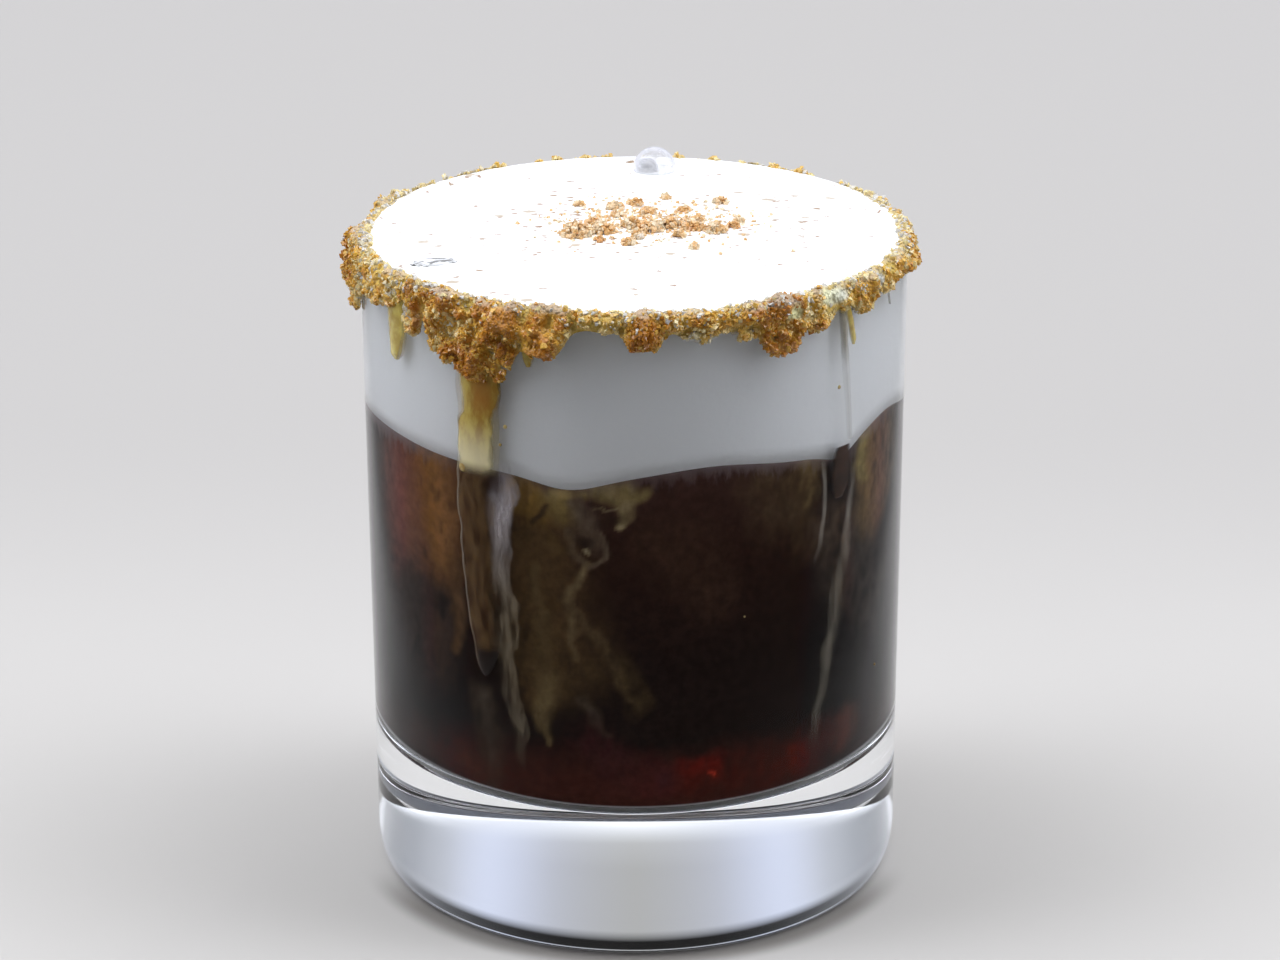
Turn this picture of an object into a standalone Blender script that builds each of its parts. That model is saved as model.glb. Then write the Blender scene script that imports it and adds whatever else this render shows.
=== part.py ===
"""Iced einspanner: black coffee under a deep layer of soft cream, in a heavy-based tumbler full to the brim.

Golden sugar crystals held in syrup crust the rim and its outside, syrup runs down the wall, and crumbs of the
same sugar lie on the cream. The origin is the middle of the glass's flat base, +Z is up and -Y is the front.
Angles go round from the front towards +X, in degrees.
"""

import math
import random

import bmesh
import bpy
from mathutils import Euler, Vector, noise

MM = 0.001
GAP = 0.3 * MM

# Glass
GLASS_HEIGHT = 98.4 * MM
RIM_OUTER_RADIUS = 40.0 * MM
RIM_WALL = 2.4 * MM
RIM_ROUNDING = RIM_WALL / 2
FOOT_OUTER_RADIUS = 39.45 * MM
HEEL_WIDTH = 2.2 * MM
HEEL_HEIGHT = 6.0 * MM
FLOOR_HEIGHT = 20.9 * MM
FLOOR_INNER_RADIUS = 37.1 * MM
FLOOR_ROUNDING = 6.0 * MM
GLASS_STEPS = 72
FLOOR_ARC_STEPS = 4
RIM_ARC_STEPS = 6
HEEL_ARC_STEPS = 3

# Drink and cream
FILL_STEPS = 64
UNDERSIDE_RINGS = (0.25, 0.6, 0.86, 1.0)
TOP_RINGS = (1.0, 0.8, 0.5, 0.2)
CREAM_UNDERSIDE = 73.4 * MM
CREAM_EDGE_BELOW_RIM = 0.5 * MM
CREAM_DOME = 0.7 * MM
CREAM_RIPPLE = 0.12 * MM
CREAM_RIPPLE_LENGTH = 9.0 * MM
RIPPLE_SEED = 3
# Waves of the cream's underside round the wall: middle angle, half width, height
UNDERSIDE_WAVES = (
    (-65, 18, 0.6 * MM),
    (-14, 9, -1.5 * MM),
    (17, 17, 1.8 * MM),
    (49, 6, -1.4 * MM),
    (68, 13, 2.4 * MM),
    (140, 25, 0.8 * MM),
    (-130, 22, -0.7 * MM),
)

# Sugar crust round the rim
CRUST_STEPS = 100
CRUST_TOP = 0.5 * MM
CRUST_TOP_LUMPS = (0.2 * MM, 3.0 * MM, 4)
CRUST_INNER_REACH = 0.5 * MM
CRUST_INNER_DROP = 0.2
CRUST_SHOULDER = 0.6 * MM
CRUST_LIP_ANGLE = 115
CRUST_LIP_STEPS = 3
# Shares of the crust's thickness and depth where its outer face turns, from its lower edge up
CRUST_FACE = ((0.6, 0.1), (1.0, 0.45))
CRUST_BROW = 0.9
CRUST_THICKNESS = 0.9 * MM
CRUST_THICKNESS_LUMPS = (0.25, 4.0 * MM, 9)
CRUST_DEPTH = 2.5 * MM
CRUST_EDGE_RAGGEDNESS = (0.5 * MM, 2.6 * MM, 7)
BACK_THINNING = 0.55
BACK_HALF_WIDTH = 62
BACK_BARE_SHARE = 0.5
# Clumps that hang below the rest: middle angle, half width, extra depth, extra thickness
CLUMP_STEEPNESS = 4
CRUST_CLUMPS = (
    (-87, 9.5, 8.0 * MM, 0.7 * MM),
    (-66, 11, 3.0 * MM, 0.4 * MM),
    (-50, 2.8, 5.0 * MM, 0.4 * MM),
    (-42.5, 3.6, 6.0 * MM, 0.5 * MM),
    (-31.5, 8.2, 9.0 * MM, 1.0 * MM),
    (-18, 4.6, 4.0 * MM, 0.6 * MM),
    (2, 4, 3.0 * MM, 0.4 * MM),
    (13, 4.5, 1.6 * MM, 0.3 * MM),
    (22, 2.6, 2.0 * MM, 0.3 * MM),
    (30.5, 5.2, 5.0 * MM, 0.7 * MM),
    (39.5, 3, 2.8 * MM, 0.3 * MM),
    (45, 3.5, 1.2 * MM, 0.3 * MM),
    (54, 4, 2.2 * MM, 0.4 * MM),
    (66, 6, 1.3 * MM, 0.4 * MM),
    (87, 10, 2.2 * MM, 0.7 * MM),
    (112, 7, 3.0 * MM, 0.5 * MM),
    (-112, 7, 4.0 * MM, 0.5 * MM),
    (152, 6, 2.5 * MM, 0.3 * MM),
    (-140, 7, 3.0 * MM, 0.3 * MM),
    (-172, 6, 2.0 * MM, 0.3 * MM),
)

# Sugar crystals fused to the crust
CRYSTAL_SIZES = (1.15 * MM, 1.75 * MM)
TOP_CRYSTAL_SIZES = (0.7 * MM, 1.05 * MM)
CRYSTAL_PROPORTIONS = (1.0, 0.85, 0.75)
CRYSTAL_COLUMNS = 80
CRYSTAL_COLUMN_JITTER = (0.15, 0.85)
CRYSTAL_ROW_HEIGHT = 2.0 * MM
CRYSTAL_ROW_JITTER = (0.3, 1.0)
CRYSTAL_TURN_JITTER = (-1, 1)
TOP_CRYSTALS = 54
TOP_CRYSTAL_ROW = (0.1 * MM, 1.5 * MM)
TOP_CRYSTAL_JITTER = (0.1, 0.9)
BACK_CRYSTAL_SHRINKING = 0.3
CRYSTAL_SCATTER = 0.45 * MM
CRYSTAL_SEED = 11

# Crumbs of sugar on the cream: middle x, middle y, size across
CRUMB_CLUMPS = (
    (-8.3, -2.0, 5.0),
    (-4.4, -1.0, 3.6),
    (-0.4, 1.6, 3.4),
    (2.1, -0.8, 3.4),
    (5.3, 1.4, 3.6),
    (8.7, 0.8, 3.2),
    (11.9, -0.4, 3.4),
    (14.6, 1.6, 2.0),
    (-5.6, 3.0, 2.2),
    (-2.7, 11.0, 2.6),
    (0.2, 13.2, 2.2),
    (2.0, 8.6, 2.4),
    (-2.4, 7.0, 2.0),
    (7.6, 10.1, 1.8),
    (13.0, 13.8, 2.2),
    (15.2, 4.3, 1.8),
    (-0.8, -7.0, 2.2),
    (-5.0, -5.6, 1.8),
    (8.7, -9.0, 1.6),
    (0.6, -4.4, 1.8),
    (6.6, -3.4, 1.9),
    (9.4, 4.4, 2.0),
    (-8.2, 12.6, 1.6),
    (4.8, 16.4, 1.6),
)
CRUMB_CRYSTAL_SIZE = 1.6 * MM
CRUMB_CRYSTAL_VARIETY = (0.8, 1.25)
CRUMB_SPREAD = (0.4, 1.0)
CRUMB_RISE = (0.15, 0.6)
CRUMB_HEAPING = 1.6
CRUMB_SEED = 5

# Syrup that runs down the wall from the crust.
# Stations from the top, each with its angle, height, half width and thickness
RUN_OFF_WALL = 0.42 * MM
RUN_EDGE_THICKNESS = 0.15 * MM
RUN_SIDES = 5
BROAD_RUN = (
    (-33.0, 88.5 * MM, 3.4 * MM, 0.5 * MM),
    (-33.2, 84.0 * MM, 3.6 * MM, 0.5 * MM),
    (-33.6, 73.0 * MM, 3.5 * MM, 0.4 * MM),
    (-33.4, 62.0 * MM, 3.4 * MM, 0.4 * MM),
    (-32.6, 52.0 * MM, 2.9 * MM, 0.5 * MM),
    (-32.2, 46.0 * MM, 2.1 * MM, 0.8 * MM),
    (-32.1, 43.4 * MM, 1.5 * MM, 1.0 * MM),
    (-32.1, 42.3 * MM, 0.6 * MM, 0.5 * MM),
)
NARROW_RUN = (
    (47.0, 97.0 * MM, 0.9 * MM, 0.4 * MM),
    (47.2, 94.0 * MM, 0.8 * MM, 0.5 * MM),
    (47.6, 90.0 * MM, 0.7 * MM, 0.6 * MM),
    (48.2, 86.0 * MM, 0.7 * MM, 0.7 * MM),
    (49.4, 80.0 * MM, 0.6 * MM, 0.4 * MM),
    (49.9, 75.4 * MM, 0.5 * MM, 0.5 * MM),
)
SHORT_DRIP = (
    (-57.0, 95.5 * MM, 2.2 * MM, 0.5 * MM),
    (-57.0, 90.6 * MM, 2.0 * MM, 0.6 * MM),
    (-57.2, 88.4 * MM, 1.7 * MM, 0.6 * MM),
    (-57.4, 86.8 * MM, 1.1 * MM, 0.8 * MM),
    (-57.4, 86.1 * MM, 0.5 * MM, 0.4 * MM),
)

# Bubble of syrup film on the back of the cream
BUBBLE_RADIUS = 3.3 * MM
BUBBLE_ANGLE = 174.5
BUBBLE_FROM_AXIS = 33.2 * MM
BUBBLE_STEPS = 16
BUBBLE_ARC_STEPS = 5

MERGE_DISTANCE = 0.001 * MM
SHARP_ANGLE = math.radians(35)


def clear_scene():
    for existing in list(bpy.data.objects):
        bpy.data.objects.remove(existing, do_unlink=True)


def new_collection(name):
    collection = bpy.data.collections.new(name)
    bpy.context.scene.collection.children.link(collection)
    return collection


def surface(name, colour, roughness, transmission=0.0):
    """A Principled material that isn't metal."""
    material = bpy.data.materials.new(name)
    material.use_nodes = True
    shader = material.node_tree.nodes["Principled BSDF"]
    shader.inputs["Base Color"].default_value = (*colour, 1.0)
    shader.inputs["Roughness"].default_value = roughness
    shader.inputs["Metallic"].default_value = 0.0
    shader.inputs["Transmission Weight"].default_value = transmission
    material.diffuse_color = (*colour, 1.0)
    return material


def around(angle, radius, height):
    """The point at that angle in degrees from the front, distance from the axis and height."""
    turn = math.radians(angle)
    return Vector((radius * math.sin(turn), -radius * math.cos(turn), height))


def bump(angle, middle, half_width, steepness=2):
    """A smooth hill round the glass: 1 at its middle angle and about a third at its half width."""
    away = (angle - middle + 180) % 360 - 180
    return math.exp(-((away / half_width) ** steepness))


def uneven(angle, radius, length, seed):
    """Smooth noise from -1 to 1 that joins up round the glass, with waves of about that length."""
    place = around(angle, radius, 0) / length
    return noise.noise(place + Vector((seed, 0, seed)))


def lumps(angle, height, length, seed):
    """The same noise along the rim, scaled to a height."""
    return height * uneven(angle, RIM_OUTER_RADIUS, length, seed)


def arc(centre_radius, centre_height, radius, start, end, steps):
    """(distance from the axis, height) pairs along an arc, from one angle to another above the horizontal."""
    points = []
    for step in range(steps + 1):
        turn = math.radians(start + (end - start) * step / steps)
        points.append((centre_radius + radius * math.cos(turn), centre_height + radius * math.sin(turn)))
    return points


def outer_radius(height):
    """The glass's outside, which narrows a little from the rim to the foot."""
    share = height / GLASS_HEIGHT
    return FOOT_OUTER_RADIUS + (RIM_OUTER_RADIUS - FOOT_OUTER_RADIUS) * share


def inner_radius(height):
    """The glass's inside above the rounded corner of its floor."""
    share = (height - FLOOR_HEIGHT) / (GLASS_HEIGHT - FLOOR_HEIGHT)
    rim_inner_radius = RIM_OUTER_RADIUS - RIM_WALL
    return FLOOR_INNER_RADIUS + (rim_inner_radius - FLOOR_INNER_RADIUS) * share


def add_object(name, mesh, collection, material):
    made = bpy.data.objects.new(name, mesh)
    collection.objects.link(made)
    mesh.materials.clear()
    mesh.materials.append(material)
    mesh.shade_smooth()
    mesh.set_sharp_from_angle(angle=SHARP_ANGLE)
    return made


def turned(name, profile, steps, collection, material):
    """A solid turned round +Z. The profile starts and ends on the axis and runs down its outer side."""
    mesh = bpy.data.meshes.new(name)
    edges = [(point, point + 1) for point in range(len(profile) - 1)]
    mesh.from_pydata([(radius, 0, height) for radius, height in profile], edges, [])
    made = add_object(name, mesh, collection, material)
    screw = made.modifiers.new("Turn", "SCREW")
    screw.axis = "Z"
    screw.steps = steps
    screw.render_steps = steps
    screw.use_merge_vertices = True
    screw.merge_threshold = MERGE_DISTANCE
    screw.use_smooth_shade = True
    return made


def loft(name, sections, closes, collection, material):
    """A solid through sections of equally many points. The last meets the first, or both ends are filled."""
    form = bmesh.new()
    rows = [[form.verts.new(point) for point in section] for section in sections]
    sides = len(rows[0])
    for row, next_row in zip(rows, rows[1:] + rows[:1] if closes else rows[1:]):
        for side in range(sides):
            after = (side + 1) % sides
            form.faces.new((row[side], row[after], next_row[after], next_row[side]))
    if not closes:
        ends = [form.faces.new(rows[0]), form.faces.new(rows[-1])]
        bmesh.ops.poke(form, faces=ends)
    bmesh.ops.triangulate(form, faces=form.faces)
    bmesh.ops.recalc_face_normals(form, faces=form.faces)
    mesh = bpy.data.meshes.new(name)
    form.to_mesh(mesh)
    form.free()
    return add_object(name, mesh, collection, material)


def ring(radius, height_at):
    """One level loop of points round the axis, each at the height for its angle."""
    angles = [360 * step / FILL_STEPS for step in range(FILL_STEPS)]
    return [around(angle, radius, height_at(angle, radius)) for angle in angles]


def level(height):
    """A height that is the same all round, in the form that ring() takes."""
    return lambda angle, radius: height


def underside_height(angle, radius):
    """The boundary of coffee and cream, which waves most at the wall."""
    waves = sum(height * bump(angle, middle, width) for middle, width, height in UNDERSIDE_WAVES)
    return CREAM_UNDERSIDE + waves * radius / inner_radius(CREAM_UNDERSIDE)


def cream_top_height(angle, radius):
    """The cream's surface: a very low dome with soft ripples, just below the rim at its edge."""
    share = radius / inner_radius(GLASS_HEIGHT)
    edge = GLASS_HEIGHT - CREAM_EDGE_BELOW_RIM
    ripple = CREAM_RIPPLE * uneven(angle, radius, CREAM_RIPPLE_LENGTH, RIPPLE_SEED)
    return edge + CREAM_DOME * (1 - share**2) + ripple * (1 - share)


def glass_profile():
    """Half of the glass's section, from its floor over the lip to the middle of its base."""
    corner = FLOOR_INNER_RADIUS - FLOOR_ROUNDING
    rim_height = GLASS_HEIGHT - RIM_ROUNDING
    heel_radius = FOOT_OUTER_RADIUS - HEEL_WIDTH
    heel = arc(0, 0, 1, 0, -90, HEEL_ARC_STEPS)
    profile = [(0, FLOOR_HEIGHT)]
    profile += arc(corner, FLOOR_HEIGHT + FLOOR_ROUNDING, FLOOR_ROUNDING, -90, 0, FLOOR_ARC_STEPS)
    profile += arc(RIM_OUTER_RADIUS - RIM_ROUNDING, rim_height, RIM_ROUNDING, 180, 0, RIM_ARC_STEPS)
    profile += [(heel_radius + HEEL_WIDTH * out, HEEL_HEIGHT * (1 + up)) for out, up in heel]
    profile += [(0, 0)]
    return profile


def make_glass(collection):
    material = surface("clear_glass", (0.9, 0.93, 0.94), 0.03, transmission=0.95)
    return turned("glass", glass_profile(), GLASS_STEPS, collection, material)


def make_coffee(collection):
    material = surface("coffee", (0.035, 0.014, 0.007), 0.15)
    corner_radius = FLOOR_INNER_RADIUS - FLOOR_ROUNDING
    corner_height = FLOOR_HEIGHT + FLOOR_ROUNDING
    corner = arc(corner_radius, corner_height, FLOOR_ROUNDING - GAP, -90, 0, FLOOR_ARC_STEPS)
    levels = [(radius, level(height)) for radius, height in corner]
    wall = inner_radius(CREAM_UNDERSIDE) - GAP
    levels += [(wall * share, underside_height) for share in reversed(UNDERSIDE_RINGS)]
    sections = [ring(radius, height_at) for radius, height_at in levels]
    return loft("coffee", sections, False, collection, material)


def make_cream(collection):
    """The cream down to the coffee, before the crumbs are fused to it."""
    material = surface("cream", (0.93, 0.93, 0.91), 0.45)
    low_wall = inner_radius(CREAM_UNDERSIDE) - GAP
    high_wall = inner_radius(GLASS_HEIGHT) - GAP

    def underside(angle, radius):
        return underside_height(angle, radius) + GAP

    levels = [(low_wall * share, underside) for share in UNDERSIDE_RINGS]
    levels += [(high_wall * share, cream_top_height) for share in TOP_RINGS]
    sections = [ring(radius, height_at) for radius, height_at in levels]
    return loft("cream", sections, False, collection, material)


def back_share(angle):
    """1 at the back of the rim, where the crust is thin, and 0 round the front and sides."""
    return bump(angle, 180, BACK_HALF_WIDTH)


def crust_depth(angle):
    """How far the crust reaches down the outside, below the top of the glass."""
    depth = CRUST_DEPTH + lumps(angle, *CRUST_EDGE_RAGGEDNESS)
    for middle, half_width, extra_depth, _ in CRUST_CLUMPS:
        depth += extra_depth * bump(angle, middle, half_width, CLUMP_STEEPNESS)
    return depth


def crust_thickness(angle):
    clumps = sum(thickness * bump(angle, middle, width) for middle, width, _, thickness in CRUST_CLUMPS)
    lumpy = 1 + lumps(angle, *CRUST_THICKNESS_LUMPS)
    return (CRUST_THICKNESS * lumpy + clumps) * (1 - BACK_THINNING * back_share(angle))


def crust_section(angle):
    """The crust's closed outline at one angle: down round the lip, a gap off it, and back up outside."""
    depth = crust_depth(angle)
    thickness = crust_thickness(angle)
    rise = CRUST_TOP * (1 - BACK_THINNING * back_share(angle)) + lumps(angle, *CRUST_TOP_LUMPS)
    top = GLASS_HEIGHT + GAP + rise
    low = GLASS_HEIGHT - depth
    lip_radius = RIM_OUTER_RADIUS - RIM_ROUNDING
    lip_height = GLASS_HEIGHT - RIM_ROUNDING
    wall = outer_radius(low) + GAP
    inside = arc(lip_radius, lip_height, RIM_ROUNDING + GAP, CRUST_LIP_ANGLE, 0, CRUST_LIP_STEPS)
    inside += [(wall, low)]
    face = [(wall + out * thickness, low + up * depth) for out, up in CRUST_FACE]
    crown = [
        (wall + CRUST_BROW * thickness, GLASS_HEIGHT - GAP),
        (lip_radius + CRUST_SHOULDER, top),
        (lip_radius - CRUST_INNER_REACH, top - CRUST_INNER_DROP * rise),
    ]
    return [around(angle, radius, height) for radius, height in inside + face + crown]


def crystal_reach(size):
    """From a crystal's middle to its corners."""
    return 0.5 * size * Vector(CRYSTAL_PROPORTIONS).length


def add_crystal(middle, size, block, draw, collection):
    """One blocky crystal, turned at random. All of them share one unit cube."""
    crystal = bpy.data.objects.new("crystal", block)
    crystal.location = middle
    crystal.scale = [size * proportion for proportion in CRYSTAL_PROPORTIONS]
    crystal.rotation_euler = Euler([draw.uniform(0, math.tau) for _ in range(3)])
    collection.objects.link(crystal)


def crust_crystals(block, collection):
    """Columns of crystals down the crust's outside, longer where it hangs lower, and one row on the lip."""
    draw = random.Random(CRYSTAL_SEED)
    for column in range(CRYSTAL_COLUMNS):
        angle = 360 * (column + draw.uniform(*CRYSTAL_COLUMN_JITTER)) / CRYSTAL_COLUMNS
        if draw.random() < BACK_BARE_SHARE * back_share(angle):
            continue
        depth = crust_depth(angle)
        rows = max(1, round(depth / CRYSTAL_ROW_HEIGHT))
        for row in range(rows):
            size = draw.uniform(*CRYSTAL_SIZES) * (1 - BACK_CRYSTAL_SHRINKING * back_share(angle))
            height = GLASS_HEIGHT - depth * (row + draw.uniform(*CRYSTAL_ROW_JITTER)) / rows
            out = GAP + crystal_reach(size) + draw.uniform(0, CRYSTAL_SCATTER)
            beside = draw.uniform(*CRYSTAL_TURN_JITTER)
            middle = around(angle + beside, outer_radius(height) + out, height)
            add_crystal(middle, size, block, draw, collection)
    for step in range(TOP_CRYSTALS):
        angle = 360 * (step + draw.uniform(*TOP_CRYSTAL_JITTER)) / TOP_CRYSTALS
        size = draw.uniform(*TOP_CRYSTAL_SIZES) * (1 - BACK_CRYSTAL_SHRINKING * back_share(angle))
        radius = RIM_OUTER_RADIUS - draw.uniform(*TOP_CRYSTAL_ROW)
        middle = around(angle, radius, GLASS_HEIGHT + GAP + crystal_reach(size))
        add_crystal(middle, size, block, draw, collection)


def crumb_crystals(block, collection):
    """Clumps of crystals that lie half sunk in the top of the cream, a few to each clump."""
    draw = random.Random(CRUMB_SEED)
    for x_mm, y_mm, across_mm in CRUMB_CLUMPS:
        spread = 0.5 * (across_mm * MM - CRUMB_CRYSTAL_SIZE)
        pieces = round((across_mm * MM / CRUMB_CRYSTAL_SIZE) ** CRUMB_HEAPING)
        for piece in range(pieces):
            turn = math.tau * (piece + draw.random()) / pieces
            reach = spread * draw.uniform(*CRUMB_SPREAD)
            x = x_mm * MM + reach * math.cos(turn)
            y = y_mm * MM + reach * math.sin(turn)
            size = CRUMB_CRYSTAL_SIZE * draw.uniform(*CRUMB_CRYSTAL_VARIETY)
            angle = math.degrees(math.atan2(x, -y))
            sits = cream_top_height(angle, math.hypot(x, y)) + draw.uniform(*CRUMB_RISE) * size
            add_crystal(Vector((x, y, sits)), size, block, draw, collection)


def unit_block():
    """The cube that every crystal shares."""
    form = bmesh.new()
    bmesh.ops.create_cube(form, size=1.0)
    mesh = bpy.data.meshes.new("crystal")
    form.to_mesh(mesh)
    form.free()
    return mesh


def islands(form):
    """The separate closed bodies of a mesh, each as a set of its corners."""
    left = set(form.verts)
    found = []
    while left:
        body = set()
        front = [left.pop()]
        while front:
            corner = front.pop()
            body.add(corner)
            beside = {edge.other_vert(corner) for edge in corner.link_edges} - body
            left -= beside
            body |= beside
            front.extend(beside)
        found.append(body)
    return found


def keep_largest_body(mesh):
    """Drops loose scraps, and the inner walls of any hollow that fusing has sealed."""
    form = bmesh.new()
    form.from_mesh(mesh)
    bmesh.ops.remove_doubles(form, verts=form.verts, dist=MERGE_DISTANCE)
    bodies = sorted(islands(form), key=len)
    scraps = [corner for body in bodies[:-1] for corner in body]
    bmesh.ops.delete(form, geom=scraps, context="VERTS")
    form.to_mesh(mesh)
    form.free()


def fuse(base, add_pieces):
    """Joins the pieces that add_pieces puts in a collection to the base, in one union."""
    pieces = new_collection("pieces_of_" + base.name)
    add_pieces(unit_block(), pieces)
    union = base.modifiers.new("Fuse", "BOOLEAN")
    union.operation = "UNION"
    union.operand_type = "COLLECTION"
    union.collection = pieces
    bpy.context.view_layer.update()
    evaluated = base.evaluated_get(bpy.context.evaluated_depsgraph_get())
    joined = bpy.data.meshes.new_from_object(evaluated)
    base.modifiers.clear()
    base.data = joined
    for piece in list(pieces.objects):
        bpy.data.objects.remove(piece, do_unlink=True)
    bpy.data.collections.remove(pieces)
    keep_largest_body(joined)
    joined.shade_smooth()
    joined.set_sharp_from_angle(angle=SHARP_ANGLE)


def run_section(angle, height, half_width, thickness):
    """A run's flat-backed, round-faced outline across the wall, close to the glass."""
    wall = outer_radius(height) + RUN_OFF_WALL
    half_angle = math.degrees(half_width / wall)
    across = [2 * side / (RUN_SIDES - 1) - 1 for side in range(RUN_SIDES)]
    back = [around(angle + share * half_angle, wall, height) for share in across]
    crown = [RUN_EDGE_THICKNESS + (thickness - RUN_EDGE_THICKNESS) * (1 - share**2) for share in across]
    front = [
        around(angle + share * half_angle, wall + out, height) for share, out in zip(across, crown)
    ]
    return back + front[::-1]


def crust_pieces(block, collection):
    """What is fused to the crust's core: its crystals, and the syrup that runs down from it."""
    crust_crystals(block, collection)
    syrup = surface("syrup", (0.5, 0.3, 0.08), 0.1)
    for stations in (BROAD_RUN, NARROW_RUN, SHORT_DRIP):
        sections = [run_section(*station) for station in stations]
        loft("syrup_run", sections, False, collection, syrup)


def make_sugar_rim(collection):
    """The crust over the rim with the runs of syrup that hang from it: one sticky piece."""
    material = surface("sugar_crust", (0.42, 0.22, 0.06), 0.3)
    sections = [crust_section(360 * step / CRUST_STEPS) for step in range(CRUST_STEPS)]
    crust = loft("sugar_rim", sections, True, collection, material)
    fuse(crust, crust_pieces)
    return crust


def make_bubble(collection):
    """A half round bubble that sits on the cream by the back of the rim."""
    material = surface("syrup_film", (0.85, 0.85, 0.8), 0.05, transmission=0.9)
    profile = arc(0, 0, BUBBLE_RADIUS, 90, 0, BUBBLE_ARC_STEPS) + [(0, 0)]
    bubble = turned("bubble", profile, BUBBLE_STEPS, collection, material)
    sits = cream_top_height(BUBBLE_ANGLE, BUBBLE_FROM_AXIS - BUBBLE_RADIUS) + GAP
    bubble.location = around(BUBBLE_ANGLE, BUBBLE_FROM_AXIS, sits)
    return bubble


def main():
    clear_scene()
    collection = new_collection("iced_einspanner")
    make_glass(collection)
    make_coffee(collection)
    cream = make_cream(collection)
    fuse(cream, crumb_crystals)
    make_sugar_rim(collection)
    make_bubble(collection)


main()
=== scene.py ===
"""Looks of the iced einspanner: coffee under cream in a sugar-rimmed tumbler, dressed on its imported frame.

Angles are in degrees round from the front (-Y) towards +X. Lengths of the studio are in metres. Those of the
object are in millimetres, or in metres where MM stands beside them.
"""

import math
import random

import bmesh
import bpy
import numpy as np
from mathutils import Euler, Matrix, Vector, noise


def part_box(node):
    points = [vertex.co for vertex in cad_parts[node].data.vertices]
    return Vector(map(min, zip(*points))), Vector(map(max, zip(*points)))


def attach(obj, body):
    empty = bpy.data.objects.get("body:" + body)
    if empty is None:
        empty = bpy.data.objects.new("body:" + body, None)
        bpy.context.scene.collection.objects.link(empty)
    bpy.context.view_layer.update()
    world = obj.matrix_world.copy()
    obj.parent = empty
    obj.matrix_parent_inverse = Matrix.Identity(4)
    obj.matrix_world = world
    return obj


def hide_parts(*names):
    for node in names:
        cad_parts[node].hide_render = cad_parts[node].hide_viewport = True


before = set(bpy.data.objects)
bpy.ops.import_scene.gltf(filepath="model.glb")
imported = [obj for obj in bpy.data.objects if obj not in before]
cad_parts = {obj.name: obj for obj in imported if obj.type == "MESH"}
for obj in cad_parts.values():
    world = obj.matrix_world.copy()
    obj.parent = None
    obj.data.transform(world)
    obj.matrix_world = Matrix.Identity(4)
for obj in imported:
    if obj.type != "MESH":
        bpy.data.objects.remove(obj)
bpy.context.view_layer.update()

MM = 0.001
BODY = "root"
BLACK = (0.0, 0.0, 0.0)
WHITE = (1.0, 1.0, 1.0)
# Sockets of the node that mixes two colours
MIX_SHARE, MIX_FIRST, MIX_SECOND, MIX_RESULT = 0, 6, 7, 2
# Fractal noise in the materials: length of its features, detail, roughness, and how each axis is shrunk
# to draw them out
EVENLY = (1.0, 1.0, 1.0)
NOISES = {
    "glass smears": (9.0, 4.0, 0.5, EVENLY),
    "coffee mottle": (1.4, 4.0, 0.6, EVENLY),
    "fringe streaks": (1.6, 5.0, 0.65, (1.0, 1.0, 0.3)),
    "fleck patches": (7.0, 2.0, 0.5, EVENLY),
    "cream ripples": (1.2, 3.0, 0.5, EVENLY),
    "blister folds": (0.55, 3.0, 0.5, (0.35, 1.0, 1.0)),
    "syrup grain": (0.5, 3.0, 0.65, EVENLY),
    "sugar grain": (0.3, 2.0, 0.5, EVENLY),
    "run blots": (1.9, 4.0, 0.65, (1.0, 1.0, 0.45)),
    "run edges": (3.0, 4.0, 0.5, (1.0, 1.0, 0.45)),
    "run threads": (1.3, 5.0, 0.7, (1.0, 1.0, 0.3)),
    "drip blots": (1.6, 3.0, 0.5, EVENLY),
    "trace patches": (1.1, 5.0, 0.7, (1.0, 1.0, 0.22)),
    "trace edges": (6.5, 3.0, 0.55, (0.3, 0.3, 1.0)),
    "bubble smears": (1.5, 2.0, 0.5, EVENLY),
    "table mottle": (60.0, 3.0, 0.5, EVENLY),
}
# Ranges of a noise that turn it into patches, from soft ones to rare ones
NOISE_MOST = (0.25, 0.75)
NOISE_WIDE = (0.3, 0.7)
NOISE_NARROW = (0.35, 0.65)
NOISE_UPPER = (0.3, 0.75)
NOISE_HIGH = (0.5, 0.8)

# Glass
GLASS_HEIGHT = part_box("glass")[1].z
RIM_OUTER_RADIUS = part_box("glass")[1].x
RIM_WALL = 2.4 * MM
RIM_ROUNDING = RIM_WALL / 2
FOOT_OUTER_RADIUS = RIM_OUTER_RADIUS - 0.55 * MM
HEEL_WIDTH = 2.2 * MM
HEEL_HEIGHT = 6.0 * MM
TABLE_BELOW_GLASS = 0.05 * MM
FLOOR_HEIGHT = 20.9 * MM
FLOOR_INNER_RADIUS = 37.1 * MM
FLOOR_ROUNDING = 6.0 * MM
ROUND_STEPS = 256
CORNER_STEPS = 16
HEEL_STEPS = 40
INTO_WALL = 0.05 * MM
GLASS_COLOUR = (0.975, 0.985, 0.99)
GLASS_SMEAR_ROUGHNESS = 0.04

# Drink and cream
CREAM_UNDERSIDE = 73.4 * MM
CREAM_EDGE_BELOW_RIM = 0.5 * MM
CREAM_DOME = 0.7 * MM
CREAM_RIPPLE = 0.12 * MM
CREAM_RIPPLE_LENGTH = 9.0 * MM
RIPPLE_SEED = 3
# Waves of the cream's underside round the wall: middle angle, half width, height
UNDERSIDE_WAVES = (
    (-65, 18, 0.6),
    (-14, 9, -1.5),
    (17, 17, 1.8),
    (49, 6, -1.4),
    (68, 13, 2.4),
    (140, 25, 0.8),
    (-130, 22, -0.7),
)
COFFEE_STEPS = 560
COFFEE_ROWS = 140
# Light that reaches the side of the drink: at the front, its rise and its fall towards the sides
DRINK_LIGHT = (0.265, 0.54, -0.32)
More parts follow.
